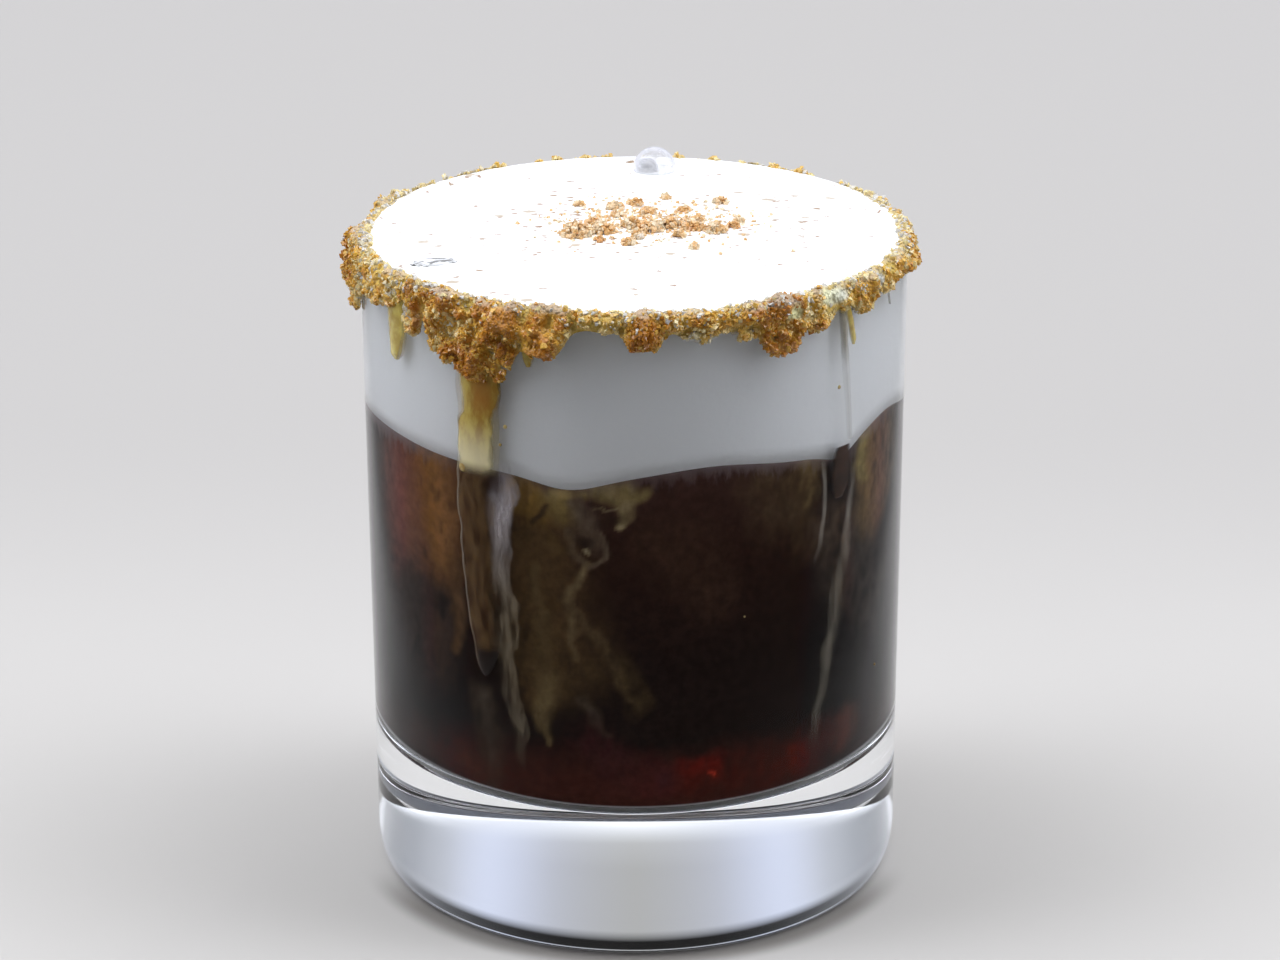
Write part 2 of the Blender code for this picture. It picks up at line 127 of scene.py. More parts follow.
# Light that the glass reflects over the drink at the sides, and how steeply that rises
GLASS_SHEEN = 0.13
SHEEN_POWER = 4
LEAST_PAINT = 0.4
WALL_RADIUS_MM = 37.4
NO_SPAN = 1e-6
# Swirls that stir the clouds: length, reach. Their noise is offset one way across and another way up
SWIRLS = ((13.0, 1.2), (4.5, 1.0), (1.6, 0.5))
STIR_ACROSS = (11.3, 4.7, 8.1)
STIR_UP = (2.9, 17.2, 5.6)
# Streaky patches in the clouds: length, strength. They are drawn out in height
CLOUD_PATCHES = ((5.0, 0.5), (1.8, 0.6), (0.8, 0.5))
CLOUD_DRAWN_OUT = Vector((1.0, 1.0, 0.45))
CLOUD_STRENGTH = 0.95
CLOUD_SOFTENING = 0.75
MOTTLE_LIGHT = (0.82, 1.2)
COFFEE_ROUGHNESS = 0.6
# The foot of the coffee mirrors what meets it flatter than this share of facing away, up to these heights
MIRROR_FACING = (0.36, 0.5)
MIRROR_TOP_MM = (25.5, 26.0)
# Its flat underside is painted pale, a painted reflection seen through the base, below these heights
UNDERSIDE_REFLECTION_FROM_MM = (21.7, 21.3)
UNDERSIDE_PAINTED_REFLECTION = (0.52, 0.55, 0.63)
FRINGE_LEAST = 0.3
# Milky stretches right under the cream: middle angle, half width, strength
FRINGES = (
    (24, 20, 0.6),
    (-66, 14, 0.8),
    (60, 8, 0.4),
)
# Streaks of the fringe: range of the noise, and how far they reach down
FRINGE_NOISE = (0.3, 0.75)
FRINGE_REACH = (1.2, 4.2)
FRINGE_ENDS = (-0.2, 1.0)
FRINGE_SOLID = 0.62
FRINGE_SHADE = (150, 134, 134)
CREAM_COLOUR = (0.93, 0.93, 0.915)
CREAM_RELIEF = 0.04
CREAM_SIDE_SHARES = (0.0, 0.1, 0.3, 0.6, 0.9, 1.0)
CREAM_RINGS = 110

# How the coffee's side shows at the front at some heights, in display values
COFFEE_DEPTHS = (
    (21, (38, 19, 15)),
    (27, (38, 18, 14)),
    (34, (20, 14, 12)),
    (46, (21, 14, 12)),
    (62, (30, 18, 14)),
    (74, (38, 24, 20)),
)
# Clouds and marks over one another in the coffee: how each shows, strength, softness, and a line of
# (angle, height, half width)
COFFEE_CLOUDS = {
    "reddish patch at the upper left": ((104, 74, 62), 1.3, 1.2, ((-62, 69, 4.6), (-60, 57, 4.6))),
    "amber patch beside it": ((98, 68, 42), 1.35, 1.2, ((-50, 72, 5.0), (-47.5, 66, 4.8), (-47, 58, 3.6))),
    "purple brown below them": ((56, 44, 38), 1.1, 1.2, ((-57.5, 49.5, 7.0), (-53, 45, 5.9))),
    "amber edge of the run": (
        (64, 47, 32), 0.7, 0.9,
        ((-41.5, 57.5, 1.9), (-41, 51, 1.3), (-41, 44.5, 0.9)),
    ),
    "brown under the run's side": (
        (54, 40, 24), 0.95, 0.9,
        ((-23, 66, 4.2), (-21, 58, 4.6), (-20, 50, 4.2), (-21, 42, 3.4)),
    ),
    "olive under the cream": ((82, 62, 30), 0.9, 0.6, ((-26, 71.5, 2.2), (-22, 69.5, 3.0), (-20, 68, 2.4))),
    "olive going on to the right": ((82, 68, 40), 0.85, 0.5, ((-16, 69.5, 2.3), (-14, 68, 1.8))),
    "lighter olive edge": ((112, 94, 54), 0.5, 0.9, ((-16, 70.5, 0.6), (-12.5, 71, 0.7), (-10, 71, 0.6))),
    "lobe on the right": ((78, 66, 42), 0.85, 0.4, ((-8, 72, 1.4), (-3, 71.8, 1.9), (0.5, 71, 1.3))),
    "finger down from the lobe": (
        (84, 72, 50), 0.7, 0.6,
        ((-1.5, 69.5, 1.0), (-1.5, 67.5, 0.6), (-2, 66, 0.45)),
    ),
    "grey cloud": ((66, 56, 46), 0.75, 0.9, ((-11.5, 69.5, 1.1), (-9.5, 67, 1.5), (-8.5, 64.5, 1.3))),
    "grey swirl": (
        (72, 62, 50), 0.6, 0.6,
        ((-13, 65.5, 0.5), (-13, 62, 0.6), (-9.5, 60.5, 0.5), (-6, 62.5, 0.5), (-6.5, 65, 0.5)),
    ),
    "spot beside the swirl": ((64, 50, 28), 0.8, 0.9, ((-18, 64, 1.1), (-16, 62, 0.9))),
    "brown between": ((50, 37, 23), 0.7, 1.2, ((-18, 63, 4.6), (-17, 55, 5.2), (-15, 47, 5.6))),
    "upper plume": (
        (72, 60, 42), 0.7, 0.9,
        ((-9.5, 61, 0.35), (-11.5, 58.5, 0.7), (-14, 54.5, 0.8), (-14.5, 51, 0.7), (-13.5, 46, 0.35)),
    ),
    "strand along the trace": (
        (62, 50, 32), 0.7, 1.0,
        ((-21, 59, 0.7), (-20.8, 50, 1.1), (-20.5, 42, 1.1), (-20, 35, 0.7)),
    ),
    "hook beside the plume": (
        (62, 50, 34), 0.5, 0.8,
        ((-12.5, 54.5, 0.4), (-11, 52, 0.5), (-13, 49.5, 0.6)),
    ),
    "ridge to the lower right": (
        (54, 43, 29), 0.65, 1.0,
        ((-12, 52.8, 0.5), (-9, 49.5, 0.8), (-6.4, 46.8, 0.9), (-3, 42.5, 0.9), (-2, 40.5, 0.5)),
    ),
    "faint strand low down": (
        (44, 36, 29), 0.6, 1.0,
        ((-12.5, 39.7, 0.5), (-8, 36.8, 0.8), (-5.5, 35, 0.5)),
    ),
    "broad haze": ((50, 39, 24), 0.4, 1.3, ((-22, 47, 3.8), (-17, 43.5, 4.0), (-12, 44, 2.4))),
    "lower plume": (
        (70, 58, 38), 0.6, 1.0,
        ((-18.5, 43, 1.2), (-19.5, 38.5, 1.1), (-18.5, 35, 0.8), (-18, 32, 0.4)),
    ),
    "haze on the right": ((46, 36, 22), 0.6, 1.2, ((-3, 45.5, 1.4), (0.2, 40.5, 1.6))),
    "faint stripe below the run": (
        (50, 42, 34), 0.6, 1.0,
        ((-34.5, 39, 1.7), (-34, 31.5, 1.9), (-33, 25.5, 1.7)),
    ),
    "dim centre haze": ((44, 30, 22), 0.5, 1.3, ((5.5, 64, 2.9), (12.5, 61.5, 4.4), (17, 56, 3.4))),
    "brown haze on the right": ((52, 40, 28), 0.75, 1.2, ((28, 71, 3.1), (33.5, 68, 4.6), (39, 64, 3.6))),
    "yellow patch by the notch": (
        (84, 70, 46), 0.8, 1.1,
        ((40, 73.5, 2.6), (40.5, 71, 2.3), (40, 68.5, 1.6)),
    ),
    "olive beyond the notch": ((108, 90, 68), 0.9, 0.8, ((64, 76, 4.4), (66, 66.5, 4.6), (61, 61, 3.4))),
    "bright edge beyond the notch": (
        (116, 104, 74), 0.6, 0.9,
        ((58, 74.5, 1.6), (58, 71, 1.3), (59, 68, 1.0)),
    ),
    "dim brown at the right edge": (
        (62, 52, 44), 0.9, 1.2,
        ((48, 62, 3.6), (56, 56, 5.6), (62, 49.5, 5.0)),
    ),
    # Painted light coming through the thin coffee near its foot: a red glow, red and orange spots, and a dim red
    # band
    "painted glow where light comes through": ((68, 14, 10), 0.8, 0.9, ((13, 29, 1.8), (18.5, 29, 1.6))),
    "painted red spot of light": ((80, 20, 12), 0.85, 0.9, ((37, 28, 1.7),)),
    "painted orange spot of light": ((70, 42, 30), 0.85, 0.9, ((54.5, 29.5, 2.7), (51, 28, 1.9))),
    "painted dim red light low down": (
        (48, 16, 11), 0.7, 1.2,
        ((2.5, 28, 2.4), (17, 27, 2.5), (33, 27, 2.7), (46.5, 29, 3.0)),
    ),
    "red brown at the lower left": (
        (52, 28, 22), 0.7, 1.2,
        ((-55, 27, 3.1), (-45, 27, 2.7), (-37.5, 26.5, 2.0)),
    ),
    "dim purple": ((38, 18, 18), 0.7, 1.2, ((-8.5, 33, 2.7), (-2, 29.5, 3.1), (4.5, 28, 2.7))),
    "dark hook": ((38, 28, 18), 0.85, 0.8, ((-22.5, 66, 0.4), (-20, 67.5, 0.4), (-18.5, 68.5, 0.3))),
    "dark hollow of the swirl": ((26, 18, 14), 0.9, 0.7, ((-11, 64.5, 1.0), (-10.5, 64, 0.8))),
    "dark above the finger": ((30, 20, 15), 0.8, 0.8, ((-4.5, 67, 1.3), (-7, 68, 0.7))),
    "scallops": (
        (84, 74, 54), 0.7, 0.6,
        ((-8, 69, 0.2), (-6.5, 69.5, 0.2), (-5.5, 68.5, 0.2), (-3.5, 69.5, 0.2)),
    ),
    "drip dot": ((92, 80, 58), 0.8, 0.5, ((-2, 66, 0.4),)),
    "bright dot": ((92, 82, 62), 0.8, 0.5, ((-10, 63, 0.4),)),
    # Painted glint in that light
    "painted glint in the light": ((120, 34, 22), 0.7, 0.4, ((17, 28, 0.35), (18.5, 27.5, 0.25))),
}

# Flecks of half-melted sugar on the cream: spacing, half size, shade
FLECKS = (
    (1.9, 0.5, (146, 116, 80)),
    (1.2, 0.36, (142, 104, 66)),
    (3.1, 0.8, (178, 160, 138)),
)
FLECK_MIDDLE = (2.0, 4.0)
FLECK_REACH = (25.0, 17.0, 6.0)
# Their chance at shares of that reach from their middle, and how patches change it
FLECK_THINS = (0.35, 1.25)
FLECK_DENSITY = (1.0, 0.1)
FLECK_PATCH_NOISE = (0.38, 0.62)
FLECK_PATCH_DENSITY = (0.15, 1.5)
FLECKS_DOWN_TO = 1.0
FLECK_STIR = {"Scale": 1.3, "Detail": 3.0}
FLECK_STIR_REACH = 1.1
FLECK_DRAWN_OUT = (0.62, 1.0, 1.0)
FLECK_EDGE = (0.6, 1.1)
FLECK_SOLID = 0.9
SMALLEST_FLECK = 0.001
# Cream that clings to the lip: how far over it, as a share, and how ragged: share, length, seed
LIP_CREAM_REACH = 0.62
LIP_CREAM_RAGGEDNESS = ((0.14, 2.2, 5), (0.07, 0.8, 6))
LIP_CREAM_THICKNESS = 0.16 * MM
LIP_CREAM_FOOT = 3 * LIP_CREAM_THICKNESS
LIP_CREAM_STEPS = 720
LIP_CREAM_ROWS = 10
# Wrinkled blister on the cream: middle, half length with half width and height, turn in degrees
BLISTER_PLACE = (-28.4, -14.4)
BLISTER_SIZE = (3.3, 1.5, 0.55)
BLISTER_TURN = 14
BLISTER_SUNK = 10
BLISTER_WRINKLE = 0.22
BLISTER_WRINKLES = (1.6, 5.0, 2.0)
BLISTER_STEPS = 90
BLISTER_ROWS = 15
# Painted shade in the blister's folds, then the film's own shade
BLISTER_FOLD_SHADE_AND_FILM = ((128, 127, 124), (236, 236, 236))
BLISTER_FOLD_NOISE = (0.42, 0.58)
BLISTER_RELIEF = 0.25

# Sugar crust, on the frame's own lower edge
CRUST_DEPTH = 2.5 * MM
CRUST_THICKNESS = 0.9 * MM
CRUST_THICKNESS_LUMPS = (0.25, 4.0 * MM, 9)
CRUST_EDGE_RAGGEDNESS = (0.5 * MM, 2.6 * MM, 7)
FULL_CRUST_DEPTH = 4.0 * MM
CRUST_LEAST = 0.55
CRUST_FULLNESS = 0.35
# Lumps and mottles through the crust: length, offset of the noise, strength
CRUST_LUMPS = ((2.3, (0.0, 0.0, 0.0), 1.3), (1.0, (7.0, 3.0, 5.0), 0.45))
TONE_MOTTLES = ((3.2, (1.0, 9.0, 4.0), 0.6), (1.3, (6.0, 2.0, 5.0), 0.35))
SOAKED_MOTTLE = (1.8, (4.0, 4.0, 8.0), 0.6)
BACK_THINNING = 0.82
BACK_HALF_WIDTH = 66
CLUMP_STEEPNESS = 4
# Clumps that hang below the rest: middle angle, half width, extra depth, extra thickness
CRUST_CLUMPS = (
    (-87, 9.5, 8.0, 0.7),
    (-66, 11, 3.0, 0.4),
    (-50, 2.8, 5.0, 0.4),
    (-42.5, 3.6, 6.0, 0.5),
    (-31.5, 8.2, 9.0, 1.0),
    (-18, 4.6, 4.0, 0.6),
    (2, 4, 3.0, 0.4),
    (13, 4.5, 1.6, 0.3),
    (22, 2.6, 2.0, 0.3),
    (30.5, 5.2, 5.0, 0.7),
    (39.5, 3, 2.8, 0.3),
    (45, 3.5, 1.2, 0.3),
    (54, 4, 2.2, 0.4),
    (66, 6, 1.3, 0.4),
    (87, 10, 2.2, 0.7),
    (112, 7, 3.0, 0.5),
    (-112, 7, 4.0, 0.5),
    (152, 6, 2.5, 0.3),
    (-140, 7, 3.0, 0.3),
    (-172, 6, 2.0, 0.3),
)
MIDDLE_TONE = 0.36
BACK_TONE = 0.25
HIDDEN_TONE = 0.3
TONE_PER_MM = 0.3
TONE_THICKNESS_MM = 0.9
# Patches along the crust that are darker or paler than the rest: middle angle, half width, tone
CRUST_TONES = (
    (-84, 14, -0.02),
    (-66, 7, 0.1),
    (-55, 7, 0.0),
    (-30, 6, 0.3),
    (-18, 4, 0.1),
    (-6, 7, 0.3),
    (3, 4, 0.25),
    (15, 5, 0.1),
    (23, 6, 0.25),
    (31, 5, 0.35),
    (47, 10, -0.08),
    (66, 10, 0.05),
    (88, 20, -0.06),
)
# Single clumps along the bare back of the rim: angle, size across
BACK_GRAINS = (
    (-148, 2.0),
    (-158, 0.9),
    (-162.5, 1.6),
    (-169, 1.1),
    (-174, 1.5),
    (178, 0.8),
    (170, 1.7),
    (161.5, 1.3),
    (155, 0.8),
    (147, 1.6),
    (139.5, 1.9),
)
# Clear syrup between the clumps: angle, mm below the rim, half width in degrees, half height in mm
CLEAR_PATCHES = (
    (-25, 1.9, 3.6, 1.1),
    (-21.6, 4.8, 1.9, 1.8),
    (-46.8, 4.2, 1.8, 2.2),
    (-63, 1.6, 3.2, 1.4),
    (-72, 2.6, 3.0, 1.6),
    (32.9, 1.6, 2.0, 0.8),
    (43.6, 0.9, 4.2, 1.2),
    (59, 1.4, 2.6, 1.2),
)
# Stretches where syrup has soaked the grains: middle angle, half width, share
SOAKED = (
    (-31, 6.5, 0.55),
    (-17, 2.6, 0.5),
    (-5, 6, 0.25),
    (3, 3, 0.3),
    (22, 4, 0.35),
    (30.5, 4, 0.4),
)
# Where the crust starts on the lip, above the horizontal, and the way from there over the lip
LIP_INNER_ANGLE = 148
OVER_LIP = math.radians(LIP_INNER_ANGLE) * RIM_ROUNDING
LIP_STEPS = 14
GLAZE_STEPS = 900
GLAZE_WALL_ROWS = 24
GLAZE_BACK_ROWS = 6
GLAZE_FROM = 0.5 * MM
GLAZE_RISE = 1.6 * MM
LIP_THINNING = 0.55
GLAZE_FALL = 1.0 * MM
GLAZE_THINNEST = 0.04 * MM
CLEAR_THINNING = 0.35
CLEAR_EDGE = 1.6
GLAZE_SHADES = {
    "amber": (222, 168, 62),
    "brown": (176, 110, 28),
    "mottled": (204, 148, 44),
    "thin": (222, 188, 92),
    "on the lip": (200, 188, 166),
    "clear patch in front": (240, 236, 176),
    "clear patch at the side": (226, 224, 212),
}
GLAZE_CELLS = 0.55
GLAZE_CELL_EDGE = (0.1, 0.7)
GLAZE_ROUGHNESS = (0.05, 0.3)
GLAZE_RELIEF = 0.3
GLAZE_RELIEF_STRENGTH = 0.9
GLAZE_TONES = (0.2, 0.9)
GLAZE_MOTTLE = 0.55
# Depths of the syrup at which it turns amber and solid, and how solid it gets
AMBER_FROM_MM = (0.2, 1.1)
SOLID_FROM_MM = (0.1, 0.5)
DEEP_SOLID = 0.96
CLEAR_EASE = 0.6
CLEAR_SOLID = 0.88
# Distance to the side from which the clear patches are paler
SIDES_FROM_MM = (24.0, 32.0)
# Heights and distances to the back between which the syrup on the lip is solid, and its pale top
LIP_SYRUP_MM = (94.6, 96.0)
LIP_SYRUP_BACK_MM = (6.0, 26.0)
LIP_SOLID = 0.9
LIP_TOP_MM = (GLASS_HEIGHT / MM - 0.3, GLASS_HEIGHT / MM + 0.5)
LIP_PALENESS = 0.6
GRAIN_TRIES = 30000
GRAIN_SIZES = (0.36 * MM, 0.88 * MM)
GRAIN_FINENESS = 1.6
GRAIN_FROM = 0.6 * MM
GRAIN_OVERHANG = (-0.4 * MM, 0.5 * MM)
GRAIN_RELIEF = (0.15 * MM, 0.8 * MM)
FRONT_BARENESS = 0.4
GRAIN_RISE = (-0.5, 0.15)
GRAIN_TONE_SPREAD = (-0.4, 0.3)
CLEAR_HIDES = 1.1
CLEAR_ON_TOP = 0.8
CLEAR_REACH = 1.3
CLEAR_GRAIN_TONES = (-0.5, 0.0)
BACK_CLUMP_GRAINS = 12
BACK_CLUMP_FILLING = 1.5
BACK_CLUMP_ALONG = (1.2, 3.0)
BACK_CLUMP_RISE = 0.45
BACK_GRAIN_SIZES = (0.45, 0.85)
BACK_GRAIN_TONES = (0.0, 0.5)
# Shades of the grains: clear, pale, golden, dark
CRUST_SHADES = ((226, 222, 214), (248, 228, 164), (240, 190, 78), (198, 128, 34))
CRUMB_SHADES = ((238, 228, 218), (250, 232, 198), (242, 194, 128), (214, 140, 68))
# Tones between which a grain turns golden, dark or clear
GOLDEN_TONES = (0.0, 0.5)
DARK_TONES = (0.5, 1.0)
CLEAR_TONES = (-0.1, -0.35)
SUGAR_ROUGHNESS = (0.05, 0.32)
CRYSTAL_SHAPES = 14
CRYSTAL_CORNERS = 12
CRYSTAL_BLOCKINESS = (0.45, 1.0)
CRYSTAL_SEED = 21

# Crumbs of sugar on the cream: middle x, middle y, size across
CRUMB_CLUMPS = (
    (-8.3, -2.0, 5.0),
    (-4.4, -1.0, 3.6),
    (-0.4, 1.6, 3.4),
    (2.1, -0.8, 3.4),
    (5.3, 1.4, 3.6),
    (8.7, 0.8, 3.2),
    (11.9, -0.4, 3.4),
    (14.6, 1.6, 2.0),
    (-5.6, 3.0, 2.2),
    (-2.7, 11.0, 2.6),
    (0.2, 13.2, 2.2),
    (2.0, 8.6, 2.4),
    (-2.4, 7.0, 2.0),
    (7.6, 10.1, 1.8),
    (13.0, 13.8, 2.2),
    (15.2, 4.3, 1.8),
    (-0.8, -7.0, 2.2),
    (-5.0, -5.6, 1.8),
    (8.7, -9.0, 1.6),
    (0.6, -4.4, 1.8),
    (6.6, -3.4, 1.9),
    (9.4, 4.4, 2.0),
    (-8.2, 12.6, 1.6),
    (4.8, 16.4, 1.6),
)
CRUMB_GRAINS = 8
CRUMB_FILLING = 1.9
CRUMB_RISE = 0.34
CRUMB_GRAIN_SIZES = (0.4 * MM, 0.85 * MM)
CRUMB_GRAIN_RISE = (-0.1, 0.3)
CRUMB_TONE = 0.3
CRUMB_TONE_DEPTH = 0.5
CRUMB_TONE_LENGTH = 2.5
CRUMB_TONE_SPREAD = (-0.25, 0.25)
CRUMB_SEED = 8
# Loose grains among the crumbs: how many, their sizes and tones, middle and spread
CRUMB_DUST = 700
CRUMB_DUST_SIZES = (0.25 * MM, 0.65 * MM)
CRUMB_DUST_RISE = 0.1
CRUMB_DUST_TONES = (-0.1, 0.6)
CRUMB_BAND_X = (2.5, 6.8)
CRUMB_BAND_Y = (4.0, 5.0)

# Syrup that runs down the wall: angle, height, half width and thickness at stations from the top
BROAD_RUN = (
    (-33.2, 90.0, 3.9, 0.5),
    (-33.3, 79.0, 3.5, 0.5),
    (-33.6, 73.0, 3.6, 0.4),
    (-33.8, 70.0, 3.8, 0.4),
    (-33.0, 59.0, 3.4, 0.4),
    (-32.6, 52.0, 3.0, 0.5),
    (-32.1, 48.0, 2.5, 0.7),
    (-32.3, 45.0, 1.8, 0.9),
    (-32.4, 43.0, 1.1, 0.8),
    (-32.5, 42.3, 0.3, 0.3),
)
NARROW_RUN = (
    (47.0, 97.0, 0.9, 0.4),
    (47.2, 94.0, 0.8, 0.5),
    (47.6, 90.0, 0.7, 0.6),
    (48.2, 86.0, 0.7, 0.7),
    (49.4, 80.0, 0.6, 0.4),
    (49.9, 75.4, 0.5, 0.5),
)
SHORT_DRIP = (
    (-57.0, 95.5, 2.9, 0.5),
    (-57.0, 90.6, 2.6, 0.6),
    (-57.2, 88.4, 2.2, 0.6),
    (-57.4, 86.8, 1.4, 0.8),
    (-57.4, 86.1, 0.5, 0.4),
)
GREEN_DRIP = (
    (-21.2, 96.0, 1.0, 0.3),
    (-21.5, 93.3, 1.2, 0.4),
    (-21.5, 91.2, 0.9, 0.5),
    (-21.4, 90.2, 0.4, 0.3),
)
SECOND_DRIP = (
    (47.8, 96.4, 0.8, 0.3),
    (49.6, 93.1, 0.7, 0.3),
    (50.6, 90.2, 0.6, 0.4),
    (50.7, 89.4, 0.3, 0.2),
)
HAIR_DRIP = (
    (64.6, 95.0, 0.3, 0.2),
    (65.9, 92.4, 0.2, 0.2),
)
DARK_NOTCH = (
    (48.0, 74.6, 1.5, 0.1),
    (47.8, 73.5, 1.9, 0.1),
    (47.6, 71.0, 2.3, 0.1),
    (47.3, 68.5, 2.0, 0.1),
    (47.0, 67.0, 0.9, 0.1),
)
# Wet traces: angle, height, half width
MILKY_TRACE = (
    (-27.7, 76, 0.9),
    (-27.3, 74.5, 1.2),
    (-27.5, 72, 2.0),
    (-27.5, 68, 2.1),
    (-27.6, 63.5, 1.6),
    (-27.5, 56.5, 1.6),
    (-27, 51.5, 2.0),
    (-27.3, 48, 1.8),
    (-27.2, 44, 1.0),
    (-26.2, 40.5, 1.5),
    (-24.6, 37, 1.3),
    (-24, 34.5, 1.1),
    (-24.8, 31.5, 0.9),
    (-24.7, 28.5, 0.7),
)
LONG_TRACE = (
    (51.7, 72, 0.8),
    (51.1, 67.5, 0.7),
    (50.6, 62.5, 0.9),
    (49, 58, 1.3),
    (47.6, 53, 1.5),
    (46.9, 48, 1.5),
    (44.5, 43.5, 1.2),
    (42.9, 38.5, 1.0),
    (41.8, 33.5, 1.0),
    (39.7, 28, 0.8),
)
BRANCH_TRACE = (
    (42.4, 74, 0.6),
    (42.5, 69.5, 0.5),
    (42.6, 65, 0.5),
    (42, 61, 0.6),
    (39.8, 57.5, 0.5),
)
# Their pieces: name, seed, stations, shade above and below, how solid above and below, and from which share
# of the half width the right side ends
TRACES = (
    ("milky_trace", 11, MILKY_TRACE, ((206, 196, 196), (158, 142, 116)), (0.46, 0.26), 0.45),
    ("long_trace", 10, LONG_TRACE, ((196, 186, 170), (170, 160, 140)), (0.26, 0.2), -0.2),
    ("branch_trace", 12, BRANCH_TRACE, ((196, 186, 170), (170, 160, 140)), (0.26, 0.1), -0.2),
)
TRACE_HEIGHTS = (52.0, 70.0)
TRACE_THICKNESS = 0.12
TRACE_WIDENING = 1.6
TRACE_LEAST = 0.35
TRACE_PATCH_NOISE = (0.3, 0.68)
TRACE_WANDER = 0.3
TRACE_EDGE = (0.75, 1.0)
TRACE_SOFT_SIDE = (-1.0, 0.05)
TRACE_SHARP_END = 0.75
# Broad run over the cream: light, dark, its patch and its foot. The patch lies to the right, high up
RUN_AMBERS = ((186, 162, 78), (146, 110, 40), (150, 98, 38), (222, 212, 172))
RUN_PATCH_MIDDLE = 0.25
RUN_PATCH_EDGE = (0.15, 0.6)
RUN_PATCH_SOLID = 0.85
RUN_PATCH_FROM_MM = (80.5, 84.5)
RUN_PALE_FROM_MM = (82.0, 75.0)
RUN_PALENESS = 0.75
RUN_CREAM_EDGE = (0.62, 0.98)
RUN_CREAM_SOLID = (0.84, 0.12)
RUN_CREAM_WANDER = 0.6
# Broad run over the coffee: dark, light, the painted highlight at its left edge and the drop at its foot
RUN_BROWNS = ((60, 38, 20), (112, 86, 54), (170, 158, 140), (30, 20, 16))
RUN_COFFEE_FROM_MM = (75.0, 72.5)
RUN_COFFEE_EDGE = (0.1, 0.8)
RUN_COFFEE_SOLID = (0.46, 0.06)
RUN_HIGHLIGHT_EDGE = (-0.84, -0.94)
RUN_HIGHLIGHT_SOLID = 0.55
RUN_DROP_FROM_MM = (47.5, 46.0)
RUN_DROP_EDGE = (-0.75, -0.45)
RUN_DROP_SOLID = 0.85
RUN_WANDER = 0.35
# Short runs of syrup: light and dark shade, how solid
OLIVE_SYRUP = ((212, 190, 92), (176, 146, 52), 0.66)
GREY_SYRUP = ((164, 156, 132), (128, 118, 92), 0.5)
# Heights between which it thins out to a faint trace
GREY_THINS_MM = (86.0, 91.5)
GREY_LEAST = 0.3
DARK_SYRUP = ((54, 36, 26), (36, 24, 16), 0.88)
BEAD_SYRUP = ((200, 176, 110), (150, 118, 60), 0.8)
DRIP_EDGE = (0.5, 1.0)
DRIP_EDGE_SOLID = 0.2
# Beads of syrup on the wall: angle, height, radius
BEADS = (
    (-37.3, 79.3, 0.35),
    (-26.8, 80.8, 0.3),
    (-28.0, 78.0, 0.25),
    (-37.1, 73.5, 0.75),
    (46.4, 83.7, 0.3),
    (23.0, 52.5, 0.15),
    (62.5, 37.4, 0.18),
)
BEAD_FLATNESS = 0.6
BEAD_TOP_ANGLE = 80
BEAD_STEPS = 6
BEAD_SIDES = 20
FADE_ROWS = 6
FILM_ROWS = 160
FILM_COLUMNS = 25
FILM_SMOOTHING = 12
FILM_FULLNESS = 0.6
FILM_WOBBLE = 0.1
FILM_WOBBLE_LENGTH = 3.0 * MM

# Bubbles on the cream: name, angle, distance from the axis, radius, what the piece replaces
BUBBLES = (
    ("syrup_bubble", 174.5, 33.2, 3.3, ("bubble",)),
    ("small_bubble", 176.5, 33.0, 1.7, ()),
)
BUBBLE_FILM = 0.12 * MM
BUBBLE_STEPS = 64
BUBBLE_ROWS = 16
BUBBLE_SUNK = 12
BUBBLE_LIFT = 0.2 * MM
BUBBLE_SHADE = (214, 213, 216)
# How solid the film shows from facing to edge on: the whiter edge is a painted reflection
BUBBLE_FACING = (0.2, 0.95)
BUBBLE_FILM_AND_REFLECTION_SOLID = (0.14, 0.72)
BUBBLE_SMEAR_NOISE = (0.4, 0.8)
BUBBLE_SMEAR_SOLID = (-0.06, 0.08)
BUBBLE_ROUGHNESS = 0.03

# Studio
TABLE_REACH = 3.0
# Shades of the table: pale near with its mottle, painted shade far back, at the sides and in front, and a
# painted contact shadow under the foot
FLOOR_SHADES = {
    "near": (186, 182, 176),
    "mottled": (190, 186, 180),
    "far": (169, 165, 160),
    "at the sides": (128, 125, 121),
    "in front": (96, 94, 90),
    "painted contact shadow": (70, 62, 52),
}
# Painted shade: where it darkens far back, at the sides and towards the front
FLOOR_FAR_MM = (-30.0, 200.0)
FLOOR_SIDE_MM = (102.0, 150.0)
FLOOR_SIDE_SLANT = 0.15
FLOOR_FRONT_MM = (-150.0, -44.0)
FLOOR_FRONT_SHADE = 0.8
# Painted contact shadow round the foot: distances from the axis, and to the front between which it fades
FOOT_SHADE_MM = (39.5, 43.5)
FOOT_SHADE_FRONT_MM = (-24.0, -8.0)
FOOT_SHADE = 0.62
OVERHEAD_PLACE = (0.0, 0.2, 0.75)
OVERHEAD_SIZE = (1.2, 1.0)
OVERHEAD_POWER = 0.86
# Small lamps that make the sugar sparkle
SPARKLE_PLACES = ((0.16, 0.3, 0.62), (-0.24, 0.24, 0.66))
SPARKLE_SIZE = 0.024
SPARKLE_POWER = 0.075
LAMP_COLOUR = (1.0, 0.975, 0.94)
TENT_STRENGTH = 8.0
